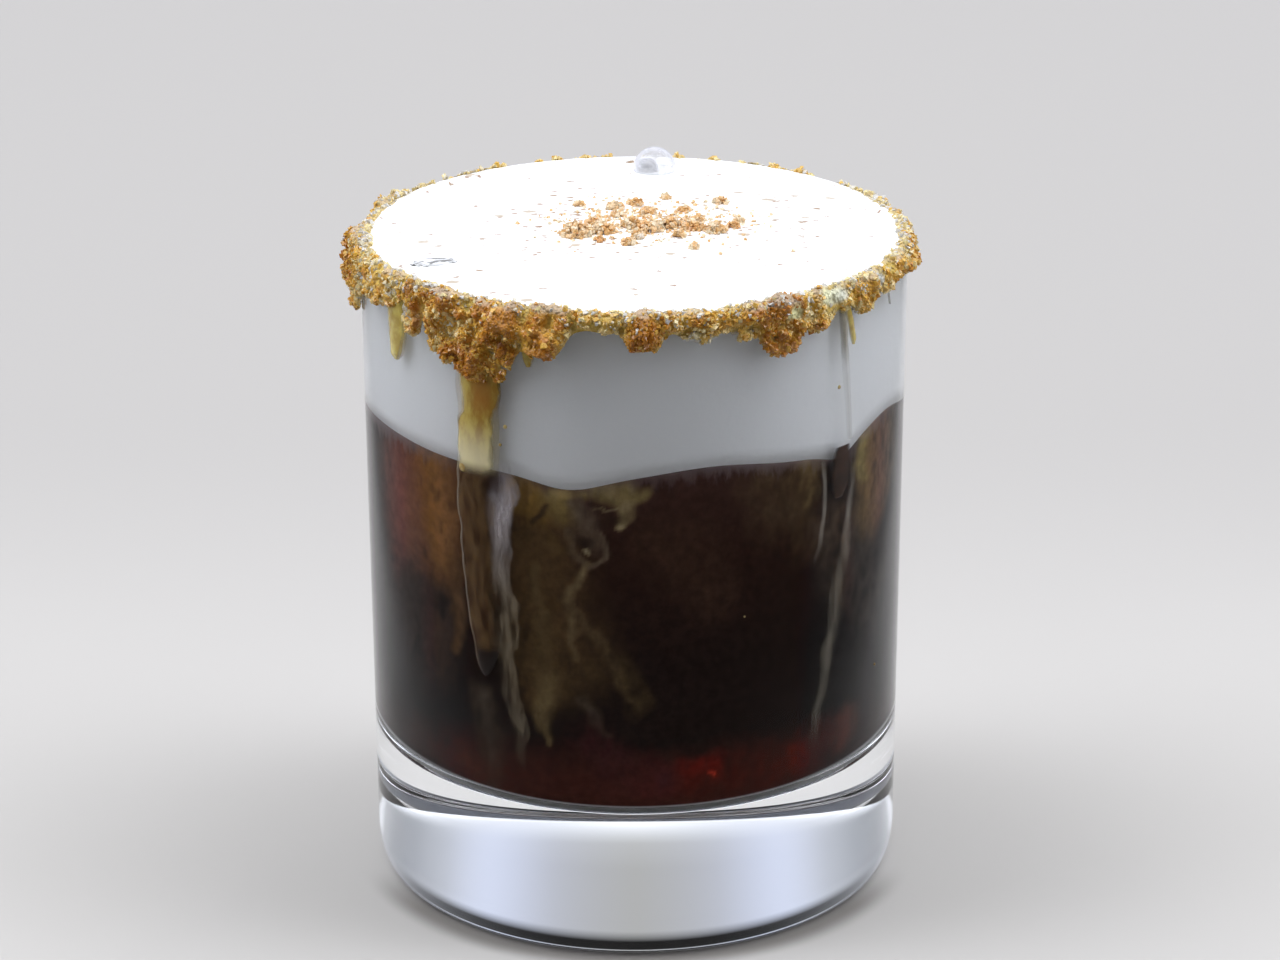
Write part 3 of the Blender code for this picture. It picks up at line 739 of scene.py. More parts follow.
# The tent's colours from the open front (0) round either side (90) to the back (180)
TENT_WALL = (
    (0, (0.005, 0.005, 0.005)),
    (50, (0.01, 0.01, 0.011)),
    (68, (0.02, 0.021, 0.025)),
    (79, (0.3, 0.315, 0.35)),
    (95, (0.3, 0.315, 0.35)),
    (104, (0.03, 0.032, 0.036)),
    (130, (0.05, 0.053, 0.06)),
    (142, (0.066, 0.069, 0.077)),
    (150, (0.085, 0.091, 0.11)),
    (157, (0.086, 0.093, 0.115)),
    (167, (0.06, 0.062, 0.07)),
    (180, (0.055, 0.055, 0.054)),
)
TENT_FOOT = (
    (0, (0.005, 0.005, 0.005)),
    (68, (0.02, 0.021, 0.025)),
    (79, (0.7, 0.73, 0.82)),
    (95, (0.7, 0.73, 0.82)),
    (104, (0.002, 0.002, 0.002)),
    (180, (0.002, 0.002, 0.002)),
)
TENT_CEILING = (
    (0, (0.005, 0.005, 0.005)),
    (58, (0.01, 0.01, 0.01)),
    (76, (0.78, 0.815, 0.89)),
    (100, (0.78, 0.815, 0.89)),
    (120, (0.25, 0.26, 0.28)),
    (145, (0.11, 0.115, 0.13)),
    (165, (0.12, 0.125, 0.135)),
    (180, (0.145, 0.15, 0.16)),
)
# Elevations between which the tent's foot turns into its wall, and the wall into the ceiling
WALL_FROM = (14, 20)
CEILING_FROM = (27, 44)

# Photograph's camera
CAMERA_PLACE = (0.79 * MM, -572.95 * MM, 273.37 * MM)
CAMERA_PITCH = 20.466
CAMERA_ROLL = -0.172
CAMERA_LENS = 115.17
CAMERA_SENSOR = 36.0
CAMERA_CLIP = (0.01, 20.0)


def srgb(red, green, blue):
    """A linear colour from display values between 0 and 255."""
    shares = (value / 255 for value in (red, green, blue))
    return tuple(share / 12.92 if share <= 0.04045 else ((share + 0.055) / 1.055) ** 2.4 for share in shares)


class Nodes:
    """A node tree that is built one node at a time. Lengths inside are in millimetres."""

    def __init__(self, tree):
        self.tree = tree

    def put(self, socket, value):
        """Links another node's output to a socket, or sets a value on it."""
        if isinstance(value, bpy.types.NodeSocket):
            self.tree.links.new(value, socket)
        elif socket.type == "RGBA" and len(value) == 3:
            socket.default_value = (*value, 1.0)
        else:
            socket.default_value = value

    def add(self, kind, inputs=None, **settings):
        made = self.tree.nodes.new("ShaderNode" + kind)
        for key, value in settings.items():
            setattr(made, key, value)
        for key, value in (inputs or {}).items():
            self.put(made.inputs[key], value)
        return made

    def parts(self, vector):
        """The x, y and z of a vector."""
        return self.add("SeparateXYZ", {"Vector": vector}).outputs

    def vector(self, operation, first, second=None, scale=None):
        made = self.add("VectorMath", {0: first}, operation=operation)
        if second is not None:
            self.put(made.inputs[1], second)
        if scale is not None:
            self.put(made.inputs["Scale"], scale)
        return made.outputs["Value" if operation == "LENGTH" else "Vector"]

    def math(self, operation, first, second=0.0, clamp=False):
        return self.add("Math", {0: first, 1: second}, operation=operation, use_clamp=clamp).outputs[0]

    def times(self, first, *others):
        """The product of two or more shares."""
        for other in others:
            first = self.math("MULTIPLY", first, other)
        return first

    def size(self, value):
        """The value without its sign."""
        return self.math("ABSOLUTE", value)

    def spread(self, value, low, high, to_low=0.0, to_high=1.0, form="SMOOTHSTEP"):
        """The value from one range to another, held at the ends and eased unless another form is given."""
        inputs = {"Value": value, "From Min": low, "From Max": high, "To Min": to_low, "To Max": to_high}
        return self.add("MapRange", inputs, interpolation_type=form).outputs["Result"]

    def mix(self, share, first, second):
        inputs = {MIX_SHARE: share, MIX_FIRST: first, MIX_SECOND: second}
        return self.add("Mix", inputs, data_type="RGBA").outputs[MIX_RESULT]

    def ramp(self, share, stops):
        """A colour that goes smoothly through its stops, at angles from 0 to 180."""
        ramp = self.add("ValToRGB", {0: share})
        ramp.color_ramp.interpolation = "B_SPLINE"
        elements = ramp.color_ramp.elements
        for stop, (angle, colour) in enumerate(stops):
            element = elements[stop] if stop < 2 else elements.new(angle / 180)
            element.position = angle / 180
            element.color = (*colour, 1.0)
        return ramp.outputs[0]


class Surface(Nodes):
    """A Principled material and its nodes, with the point on the object in millimetres: where, x, y and z."""

    def __init__(self, name, **settings):
        self.material = bpy.data.materials.new(name)
        self.material.use_nodes = True
        super().__init__(self.material.node_tree)
        self.shader = self.tree.nodes["Principled BSDF"]
        self.where = self.vector("SCALE", self.add("TexCoord").outputs["Object"], scale=1 / MM)
        self.x, self.y, self.z = self.parts(self.where)
        self.set(**settings)

    def set(self, **settings):
        """Puts a value or another node's output on each of the shader's inputs, named in lower case."""
        for key, value in settings.items():
            self.put(self.shader.inputs[key.replace("_", " ").title().replace("Ior", "IOR")], value)

    def noise(self, name, where=None):
        """One of the fractal noises, from 0 to 1, over the object or over another place."""
        length, detail, roughness, shares = NOISES[name]
        drawn = self.vector("MULTIPLY", where or self.where, shares)
        inputs = {"Vector": drawn, "Scale": 1 / length, "Detail": detail, "Roughness": roughness}
        return self.add("TexNoise", inputs).outputs["Fac"]

    def attribute(self, name, output="Fac"):
        return self.add("Attribute", attribute_name=name).outputs[output]

    def facing(self):
        """0 where the surface faces the eye, 1 where it is seen edge on."""
        return self.add("LayerWeight", {"Blend": 0.5}).outputs["Facing"]

    def relief(self, height, depth_mm, strength=1.0):
        """Bumps of that depth from a height between 0 and 1."""
        inputs = {"Height": height, "Distance": depth_mm * MM, "Strength": strength}
        return self.add("Bump", inputs).outputs["Normal"]


def around(angle, radius, height):
    """The point at that angle in degrees from the front, distance from the axis and height."""
    turn = math.radians(angle)
    return Vector((radius * math.sin(turn), -radius * math.cos(turn), height))


def angle_of(x, y):
    """The angle in degrees from the front at which a point lies."""
    return math.degrees(math.atan2(x, -y))


def bump(angle, middle, half_width, steepness=2):
    """A smooth hill round the glass: 1 at its middle angle and about a third at its half width."""
    away = (angle - middle + 180) % 360 - 180
    return math.exp(-((away / half_width) ** steepness))


def uneven(angle, radius, length, seed):
    """Smooth noise from -1 to 1 that joins up round the glass, with waves of about that length."""
    place = around(angle, radius, 0) / length
    return noise.noise(place + Vector((seed, 0, seed)))


def lumps(angle, height, length, seed):
    """The same noise along the rim, scaled to a height."""
    return height * uneven(angle, RIM_OUTER_RADIUS, length, seed)


def blotch(place, length, offset):
    """Smooth noise from -1 to 1 through space, its waves about that many millimetres long."""
    return noise.noise(place / (length * MM) + Vector(offset))


def smooth(share):
    """Eases 0 to 1, held at the ends."""
    share = min(1.0, max(0.0, share))
    return share * share * (3 - 2 * share)


def arc(centre_radius, centre_height, radius, start, end, steps):
    """(distance from the axis, height) pairs along an arc, from one angle to another above the horizontal."""
    turns = [math.radians(start + (end - start) * step / steps) for step in range(steps + 1)]
    ways = [(math.cos(turn), math.sin(turn)) for turn in turns]
    return [(centre_radius + radius * out, centre_height + radius * up) for out, up in ways]


def outer_radius(height):
    share = height / GLASS_HEIGHT
    return FOOT_OUTER_RADIUS + (RIM_OUTER_RADIUS - FOOT_OUTER_RADIUS) * share


def inner_radius(height):
    share = (height - FLOOR_HEIGHT) / (GLASS_HEIGHT - FLOOR_HEIGHT)
    rim_inner_radius = RIM_OUTER_RADIUS - RIM_WALL
    return FLOOR_INNER_RADIUS + (rim_inner_radius - FLOOR_INNER_RADIUS) * share


def lip_inner_radius(height):
    """The glass's inside, also where the lip rounds away near its top."""
    above = max(0.0, height - (GLASS_HEIGHT - RIM_ROUNDING))
    away = RIM_ROUNDING - math.sqrt(RIM_ROUNDING**2 - above**2)
    return inner_radius(height) + away


def underside_height(angle, radius):
    """The boundary of coffee and cream, which waves most at the wall."""
    waves = sum(height * MM * bump(angle, middle, width) for middle, width, height in UNDERSIDE_WAVES)
    return CREAM_UNDERSIDE + waves * radius / inner_radius(CREAM_UNDERSIDE)


def cream_top_height(angle, radius):
    """The cream's surface: a very low dome with soft ripples, just below the rim at its edge."""
    share = radius / inner_radius(GLASS_HEIGHT)
    edge = GLASS_HEIGHT - CREAM_EDGE_BELOW_RIM
    ripple = CREAM_RIPPLE * uneven(angle, radius, CREAM_RIPPLE_LENGTH, RIPPLE_SEED)
    return edge + CREAM_DOME * (1 - share**2) + ripple * (1 - share)


def add_piece(name, points, faces, material, slot, replaced=(), flipped=False):
    """A smooth piece of the drink that rides on the glass, its faces turned over if so said."""
    corners = [tuple(face)[::-1] if flipped else tuple(face) for face in faces]
    mesh = bpy.data.meshes.new(name)
    mesh.from_pydata([tuple(point) for point in points], [], corners)
    mesh.update()
    mesh.materials.append(material)
    mesh.shade_smooth()
    piece = bpy.data.objects.new(name, mesh)
    bpy.context.scene.collection.objects.link(piece)
    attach(piece, BODY)
    if replaced:
        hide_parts(*replaced)
    return piece


def store(piece, name, values):
    """Keeps a number for each point of the mesh, which its material reads by name."""
    attribute = piece.data.attributes.new(name, "FLOAT", "POINT")
    attribute.data.foreach_set("value", np.asarray(values, np.float32))


def store_colours(piece, name, colours):
    """Keeps a linear colour for each point of the mesh, which its material reads by name."""
    attribute = piece.data.attributes.new(name, "FLOAT_COLOR", "POINT")
    opaque = np.concatenate([colours, np.ones((len(colours), 1))], axis=1)
    attribute.data.foreach_set("color", opaque.astype(np.float32).ravel())


def step_angles(steps=ROUND_STEPS):
    return [360 * step / steps for step in range(steps)]


def skin(rows, tips=None, joined=False):
    """Points and faces through closed loops of equally many points. The last loop is joined to the first, or
    both ends close in a point on the axis at the heights in tips, or in one face."""
    points = [point for row in rows for point in row]
    count = len(rows[0])
    faces = []
    for row in range(len(rows) if joined else len(rows) - 1):
        low = row * count
        high = (row + 1) % len(rows) * count
        for side in range(count):
            after = (side + 1) % count
            faces.append((low + side, low + after, high + after, high + side))
    last = len(points) - count
    if tips:
        low_tip = len(points)
        faces += [((side + 1) % count, side, low_tip) for side in range(count)]
        faces += [(last + side, last + (side + 1) % count, low_tip + 1) for side in range(count)]
        points += [Vector((0, 0, height)) for height in tips]
    elif not joined:
        faces.append(tuple(range(count))[::-1])
        faces.append(tuple(range(last, last + count)))
    return points, faces


def lathe(profile, steps=ROUND_STEPS):
    """Points and faces of a solid turned round +Z. Its profile starts and ends on the axis."""
    angles = step_angles(steps)
    rows = [[around(angle, radius, height) for angle in angles] for radius, height in profile[1:-1]]
    return skin(rows, tips=(profile[0][1], profile[-1][1]))


def glass_material():
    """Clear, with the faintest smears."""
    made = Surface("clear_glass", base_color=GLASS_COLOUR, transmission_weight=1.0, ior=1.5)
    smears = made.spread(made.noise("glass smears"), *NOISE_HIGH, 0.0, GLASS_SMEAR_ROUGHNESS)
    made.set(specular_tint=BLACK, roughness=smears)
    return made.material


def make_glass():
    corner = FLOOR_INNER_RADIUS - FLOOR_ROUNDING
    rim_height = GLASS_HEIGHT - RIM_ROUNDING
    heel_radius = FOOT_OUTER_RADIUS - HEEL_WIDTH
    heel = arc(0, 0, 1, 0, -90, HEEL_STEPS)
    profile = [(0, FLOOR_HEIGHT)]
    profile += arc(corner, FLOOR_HEIGHT + FLOOR_ROUNDING, FLOOR_ROUNDING, -90, 0, CORNER_STEPS)
    profile += arc(RIM_OUTER_RADIUS - RIM_ROUNDING, rim_height, RIM_ROUNDING, 180, 0, CORNER_STEPS)
    profile += [(heel_radius + HEEL_WIDTH * out, HEEL_HEIGHT * (1 + up)) for out, up in heel]
    profile += [(0, 0)]
    add_piece("tumbler", *lathe(profile), glass_material(), "clear_glass", ["glass"], flipped=True)


def light_on(aside):
    """The share of light that reaches the drink's side, from the squared sine of the angle from the front."""
    front, rise, fall = DRINK_LIGHT
    return front + rise * aside + fall * aside**2


def albedo(shade, aside):
    """The colours that show as that shade there, under the glass's own sheen."""
    seen = np.array(srgb(*shade))[None, :]
    bare = np.maximum(seen - GLASS_SHEEN * aside[:, None] ** SHEEN_POWER, LEAST_PAINT * seen)
    return bare / light_on(aside)[:, None]


def line_share(across, up, stations, softness):
    """For many points on the wall, 1 near a line of stations, eased to 0 over its edge."""
    placed = [(math.radians(angle) * WALL_RADIUS_MM, height, width) for angle, height, width in stations]
    share = np.zeros(len(across))
    for start, end in zip(placed, placed[1:] or placed):
        step_across = end[0] - start[0]
        step_up = end[1] - start[1]
        span = step_across**2 + step_up**2
        along = ((across - start[0]) * step_across + (up - start[1]) * step_up) / max(span, NO_SPAN)
        along = np.clip(along, 0, 1)
        beside = np.hypot(across - start[0] - along * step_across, up - start[1] - along * step_up)
        width = start[2] + (end[2] - start[2]) * along
        eased = np.clip((1 + softness / 2 - beside / width) / softness, 0, 1)
        share = np.maximum(share, eased * eased * (3 - 2 * eased))
    return share


def stir(points, offset):
    """How far the swirls move each point one way, in millimetres."""
    return sum(reach * np.array([blotch(point, length, offset) for point in points]) for length, reach in SWIRLS)


def coffee_paint(points):
    """The colour of the coffee's side at each point: dark, with the clouds laid over one another."""
    placed = np.array([tuple(point) for point in points]) / MM
    streaks = sum(
        depth * np.array([noise.noise(point * CLOUD_DRAWN_OUT / (length * MM)) for point in points])
        for length, depth in CLOUD_PATCHES
    )
    aside = placed[:, 0] ** 2 / np.maximum(placed[:, 0] ** 2 + placed[:, 1] ** 2, NO_SPAN)
    across = np.arctan2(placed[:, 0], -placed[:, 1]) * WALL_RADIUS_MM + stir(points, STIR_ACROSS)
    up = placed[:, 2] + stir(points, STIR_UP)
    heights = [height for height, _ in COFFEE_DEPTHS]
    colour = np.zeros((len(points), 3))
    for height, shade in COFFEE_DEPTHS:
        nearness = np.interp(up, heights, [float(height == other) for other in heights])
        colour += nearness[:, None] * albedo(shade, aside)
    for shade, strength, softness, stations in COFFEE_CLOUDS.values():
        uneven_strength = np.clip(CLOUD_STRENGTH * strength * (1 + streaks), 0, 1)
        share = uneven_strength * line_share(across, up, stations, softness + CLOUD_SOFTENING)
        colour += share[:, None] * (albedo(shade, aside) - colour)
    return colour


def fringe_strength(angle):
    """How milky the coffee is right under the cream: most to the right of the front and at the far left."""
    hazes = sum(strength * bump(angle, middle, width) for middle, width, strength in FRINGES)
    return min(1.0, FRINGE_LEAST + hazes)


def coffee_material():
    """Painted coffee. Its foot mirrors the glass's base where light from it comes in too flat."""
    made = Surface("black_coffee", specular_ior_level=0.0)
    mottle = made.spread(made.noise("coffee mottle"), *NOISE_MOST, *MOTTLE_LIGHT)
    paint = made.vector("SCALE", made.attribute("paint", "Color"), scale=mottle)
    reach = made.spread(made.noise("fringe streaks"), *FRINGE_NOISE, *FRINGE_REACH)
    below = made.math("DIVIDE", made.attribute("below_cream"), reach)
    fringe = made.times(made.spread(below, *FRINGE_ENDS, FRINGE_SOLID, 0.0), made.attribute("fringe"))
    paint = made.mix(fringe, paint, srgb(*FRINGE_SHADE))
    # Painted reflection: the flat underside turns pale where it shows through the base
    paint = made.mix(made.spread(made.z, *UNDERSIDE_REFLECTION_FROM_MM), paint, UNDERSIDE_PAINTED_REFLECTION)
    under = made.spread(made.z, *MIRROR_TOP_MM, 1.0, 0.0)
    mirror = made.times(under, made.spread(made.facing(), *MIRROR_FACING))
    made.set(base_color=made.mix(mirror, paint, WHITE), metallic=mirror)
    made.set(roughness=made.spread(mirror, 0.0, 1.0, COFFEE_ROUGHNESS, 0.0))
    return made.material


def make_coffee():
    corner_radius = FLOOR_INNER_RADIUS - FLOOR_ROUNDING
    corner_height = FLOOR_HEIGHT + FLOOR_ROUNDING
    corner = arc(corner_radius, corner_height, FLOOR_ROUNDING + INTO_WALL, -90, 0, CORNER_STEPS)
    angles = step_angles(COFFEE_STEPS)
    rows = [[around(angle, radius, height) for angle in angles] for radius, height in corner]
    tops = [underside_height(angle, inner_radius(CREAM_UNDERSIDE)) for angle in angles]
    for row in range(1, COFFEE_ROWS + 1):
        heights = [corner_height + (top - corner_height) * row / COFFEE_ROWS for top in tops]
        places = zip(angles, heights)
        rows.append([around(angle, inner_radius(height) + INTO_WALL, height) for angle, height in places])
    points, faces = skin(rows, tips=(FLOOR_HEIGHT - INTO_WALL, CREAM_UNDERSIDE))
    piece = add_piece("black_coffee", points, faces, coffee_material(), "coffee", ["coffee"])
    turns = [angle_of(point.x, point.y) for point in points]
    unders = [underside_height(turn, math.hypot(point.x, point.y)) for turn, point in zip(turns, points)]
    store(piece, "below_cream", [(under - point.z) / MM for under, point in zip(unders, points)])
    store(piece, "fringe", [fringe_strength(turn) for turn in turns])
    store_colours(piece, "paint", coffee_paint(points))


def fleck_density(made):
    """The chance of a fleck: patchy, highest among the crumbs, and none down the cream's side."""
    top = GLASS_HEIGHT / MM
    offset = made.vector("SUBTRACT", made.where, (*FLECK_MIDDLE, top))
    spread_out = made.vector("LENGTH", made.vector("DIVIDE", offset, FLECK_REACH))
    patches = made.spread(made.noise("fleck patches"), *FLECK_PATCH_NOISE, *FLECK_PATCH_DENSITY)
    on_top = made.math("GREATER_THAN", made.z, top - FLECKS_DOWN_TO)
    return made.times(made.spread(spread_out, *FLECK_THINS, *FLECK_DENSITY), patches, on_top)


def cream_material():
    """Soft white, with flat flecks of half-melted sugar on top that thin out away from the crumbs."""
    made = Surface("soft_cream", roughness=0.45, specular_ior_level=0.3)
    density = fleck_density(made)
    stirred = made.add("TexNoise", {"Vector": made.where, **FLECK_STIR}).outputs["Color"]
    wavy = made.vector("ADD", made.where, made.vector("SCALE", stirred, scale=FLECK_STIR_REACH))
    wavy = made.vector("MULTIPLY", wavy, FLECK_DRAWN_OUT)
    colour = CREAM_COLOUR
    for length, half_size, shade in FLECKS:
        cells = made.add("TexVoronoi", {"Vector": wavy, "Scale": 1 / length, "Randomness": 1.0})
        chance = made.add("SeparateColor", {"Color": cells.outputs["Color"]}).outputs["Red"]
        size = made.times(made.math("LESS_THAN", chance, density), half_size / length)
        away = made.math("DIVIDE", cells.outputs["Distance"], made.math("ADD", size, SMALLEST_FLECK))
        colour = made.mix(made.spread(away, *FLECK_EDGE, FLECK_SOLID, 0.0), colour, srgb(*shade))
    made.set(base_color=colour, normal=made.relief(made.noise("cream ripples"), CREAM_RELIEF))
    return made.material


def make_cream():
    rows = []
    for share in CREAM_SIDE_SHARES:
        ring = []
        for angle in step_angles():
            low = underside_height(angle, inner_radius(CREAM_UNDERSIDE))
            high = cream_top_height(angle, inner_radius(GLASS_HEIGHT))
            height = low + (high - low) * share
            ring.append(around(angle, lip_inner_radius(height) + INTO_WALL, height))
        rows.append(ring)
    for step in range(1, CREAM_RINGS):
        radius = inner_radius(GLASS_HEIGHT) * (1 - step / CREAM_RINGS)
        rows.append([around(angle, radius, cream_top_height(angle, radius)) for angle in step_angles()])
    points, faces = skin(rows, tips=(CREAM_UNDERSIDE, cream_top_height(0, 0)))
    add_piece("soft_cream", points, faces, cream_material(), "cream", ["cream"])


def make_lip_cream():
    """A thin skin of cream over the inner half of the lip, where no sugar hides it, with a ragged edge."""
    rows = []
    foot = (inner_radius(GLASS_HEIGHT) - LIP_CREAM_FOOT, GLASS_HEIGHT - CREAM_EDGE_BELOW_RIM)
    for angle in step_angles(LIP_CREAM_STEPS):
        ragged = sum(lumps(angle, share, length * MM, seed) for share, length, seed in LIP_CREAM_RAGGEDNESS)
        reach = OVER_LIP * (LIP_CREAM_REACH + ragged)
        row = [around(angle, *foot)]
        for step in range(LIP_CREAM_ROWS + 1):
            share = step / LIP_CREAM_ROWS
            place, way = crust_path(angle, reach * share)
            row.append(place + way * LIP_CREAM_THICKNESS * math.sqrt(1 - share))
        for step in range(LIP_CREAM_ROWS + 1):
            place, way = crust_path(angle, reach * (1 - step / LIP_CREAM_ROWS))
            row.append(place - way * INTO_WALL)
        rows.append(row)
    add_piece("lip_cream", *skin(rows, joined=True), cream_material(), "cream", flipped=True)


def blister_material():
    """Wrinkled film, with painted shade in its folds."""
    made = Surface("wrinkled_cream", roughness=0.25, specular_ior_level=0.5)
    turn = math.radians(-BLISTER_TURN)
    turned = made.add("VectorRotate", {"Vector": made.where, "Angle": turn}).outputs["Vector"]
    folds = made.noise("blister folds", turned)
    # Painted shade in the folds
    colour = made.mix(made.spread(folds, *BLISTER_FOLD_NOISE), *(srgb(*shade) for shade in BLISTER_FOLD_SHADE_AND_FILM))
    made.set(base_color=colour, normal=made.relief(folds, BLISTER_RELIEF))
    return made.material


def make_blister():
    """A low wrinkled blister of cream film near the left of the glass."""
    profile = arc(0, 0, 1, 90, -BLISTER_SUNK, BLISTER_ROWS)
    profile.append((0, profile[-1][1]))
    points, faces = lathe(profile, BLISTER_STEPS)
    turn = Matrix.Rotation(math.radians(BLISTER_TURN), 4, "Z")
    x, y = (offset * MM for offset in BLISTER_PLACE)
    place = Vector((x, y, cream_top_height(angle_of(x, y), math.hypot(x, y))))
    size = Vector([length * MM for length in BLISTER_SIZE])
    shaped = []
    for point in points:
        fold = 1 + BLISTER_WRINKLE * noise.noise(point * Vector(BLISTER_WRINKLES))
        shaped.append(place + turn @ (point * size * fold))
    add_piece("cream_blister", shaped, faces, blister_material(), "cream", flipped=True)


def back_share(angle):
    """1 at the back of the rim, where the crust is thin, and 0 round the front and sides."""
    return bump(angle, 180, BACK_HALF_WIDTH)


def crust_depth(angle):
    """How far the crust reaches down the outside, below the top of the glass."""
    clumps = sum(
        depth * MM * bump(angle, middle, width, CLUMP_STEEPNESS) for middle, width, depth, _ in CRUST_CLUMPS
    )
    return CRUST_DEPTH + clumps + lumps(angle, *CRUST_EDGE_RAGGEDNESS)


def crust_thickness(angle):
    clumps = sum(thickness * MM * bump(angle, middle, width) for middle, width, _, thickness in CRUST_CLUMPS)
    lumpy = 1 + lumps(angle, *CRUST_THICKNESS_LUMPS)
    return (CRUST_THICKNESS * lumpy + clumps) * (1 - BACK_THINNING * back_share(angle))


def crust_length(angle):
    """From the cream over the lip to the crust's lower edge, along the glass."""
    return OVER_LIP + crust_depth(angle) - RIM_ROUNDING


def crust_path(angle, along):
    """The point on the glass so far along from the cream over the lip, and its outward direction."""
    if along < OVER_LIP:
        turn = math.radians(LIP_INNER_ANGLE) * (1 - along / OVER_LIP)
        radius = RIM_OUTER_RADIUS - RIM_ROUNDING + RIM_ROUNDING * math.cos(turn)
        height = GLASS_HEIGHT - RIM_ROUNDING + RIM_ROUNDING * math.sin(turn)
        return around(angle, radius, height), around(angle, math.cos(turn), math.sin(turn))
    height = GLASS_HEIGHT - RIM_ROUNDING - (along - OVER_LIP)
    return around(angle, outer_radius(height), height), around(angle, 1.0, 0.0)


def clear_share(angle, along):
    """1 in the middle of a patch of clear syrup, 0 beside it."""
    below = (along - OVER_LIP + RIM_ROUNDING) / MM
    nearest = min(
        math.hypot((angle - middle) / wide, (below - down) / high)
        for middle, down, wide, high in CLEAR_PATCHES
    )
    return smooth(CLEAR_EDGE * (1 - nearest) + 0.5)


def crust_relief(angle, along, place):
    """How thick the crust is at one place: lumps of a few millimetres with bare patches between them."""
    rises = smooth((along - GLAZE_FROM) / GLAZE_RISE)
    falls = math.sqrt(max(0.0, min(1.0, (crust_length(angle) - along) / GLAZE_FALL)))
    on_lip = 1 - LIP_THINNING * smooth(1 - along / OVER_LIP)
    full = min(1.0, (crust_depth(angle) - CRUST_DEPTH) / FULL_CRUST_DEPTH)
    lumpy = CRUST_LEAST + CRUST_FULLNESS * full
    lumpy += sum(depth * blotch(place, length, offset) for length, offset, depth in CRUST_LUMPS)
    cleared = 1 - CLEAR_THINNING * clear_share(angle, along)
    return GLAZE_THINNEST + crust_thickness(angle) * rises * falls * on_lip * max(0.0, lumpy) * cleared


def soaked_share(angle, place):
    """How much syrup has drowned the grains there."""
    stretches = sum(share * bump(angle, middle, width) for middle, width, share in SOAKED)
    length, offset, depth = SOAKED_MOTTLE
    return stretches * (1 - back_share(angle)) + depth * blotch(place, length, offset)


def crust_tone(angle, place, relief):
    """How dark the sugar is at one place, from 0 to 1: darkest where it is thick."""
    patches = sum(tone * bump(angle, middle, width) for middle, width, tone in CRUST_TONES)
    mottles = sum(depth * blotch(place, length, offset) for length, offset, depth in TONE_MOTTLES)
    thick = TONE_PER_MM * (relief / MM - TONE_THICKNESS_MM)
    return MIDDLE_TONE + patches - BACK_TONE * back_share(angle) + mottles + thick


def glaze_material():
    """Syrup between the grains: clear where thin, amber to brown where deep, yellow in the clear patches."""
    made = Surface("sugar_syrup", specular_ior_level=0.35, coat_weight=0.15, coat_roughness=0.05)
    depth, tone, clear = (made.attribute(name) for name in ("depth", "tone", "clear"))
    grain = made.noise("syrup grain")
    shades = [srgb(*shade) for shade in GLAZE_SHADES.values()]
    amber, brown, mottled, thin, on_lip, front_patch, side_patch = shades
    deep = made.mix(made.spread(tone, *GLAZE_TONES), amber, brown)
    deep = made.mix(made.spread(grain, *NOISE_UPPER, 0.0, GLAZE_MOTTLE), deep, mottled)
    colour = made.mix(made.spread(depth, *AMBER_FROM_MM), thin, deep)
    colour = made.mix(made.spread(made.z, *LIP_TOP_MM, 0.0, LIP_PALENESS), colour, on_lip)
    patch = made.mix(made.spread(made.size(made.x), *SIDES_FROM_MM), front_patch, side_patch)
    solid = made.spread(depth, *SOLID_FROM_MM, 0.0, DEEP_SOLID)
    not_back = made.spread(made.y, *LIP_SYRUP_BACK_MM, LIP_SOLID, 0.0)
    solid = made.math("MAXIMUM", solid, made.times(made.spread(made.z, *LIP_SYRUP_MM), not_back))
    solid = made.math("MAXIMUM", solid, made.spread(clear, 0.0, CLEAR_EASE, 0.0, CLEAR_SOLID))
    made.set(base_color=made.mix(clear, colour, patch), alpha=solid)
    cells = made.add("TexVoronoi", {"Vector": made.where, "Scale": 1 / GLAZE_CELLS}).outputs["Distance"]
    grainy = made.math("ADD", made.spread(cells, *GLAZE_CELL_EDGE, 1.0, 0.0), grain)
    made.set(roughness=made.spread(grain, *NOISE_WIDE, *GLAZE_ROUGHNESS))
    made.set(normal=made.relief(grainy, GLAZE_RELIEF, GLAZE_RELIEF_STRENGTH))
    return made.material


def make_glaze():
    """The syrup that holds the crust together, from the cream over the lip to the ragged lower edge."""
    rows, depths, tones, clears = [], [], [], []
    for angle in step_angles(GLAZE_STEPS):
        length = crust_length(angle)
        down = length - OVER_LIP
        alongs = [OVER_LIP * step / LIP_STEPS for step in range(LIP_STEPS)]
        alongs += [OVER_LIP + down * step / GLAZE_WALL_ROWS for step in range(GLAZE_WALL_ROWS + 1)]
        row = []
        for along in alongs:
            place, way = crust_path(angle, along)
            relief = crust_relief(angle, along, place)
            row.append(place + way * relief)
            depths.append(relief / MM)
            tones.append(crust_tone(angle, place, relief))
            clears.append(clear_share(angle, along))
        for step in range(GLAZE_BACK_ROWS + 1):
            place, way = crust_path(angle, length * (1 - step / GLAZE_BACK_ROWS))
            row.append(place - way * INTO_WALL)
            depths.append(0.0)
            tones.append(HIDDEN_TONE)
            clears.append(0.0)
        rows.append(row)
    form = skin(rows, joined=True)
    piece = add_piece("syrup_glaze", *form, glaze_material(), "sugar_crust", ["sugar_rim"], flipped=True)
    for name, values in (("depth", depths), ("clear", clears), ("tone", tones)):
        store(piece, name, values)


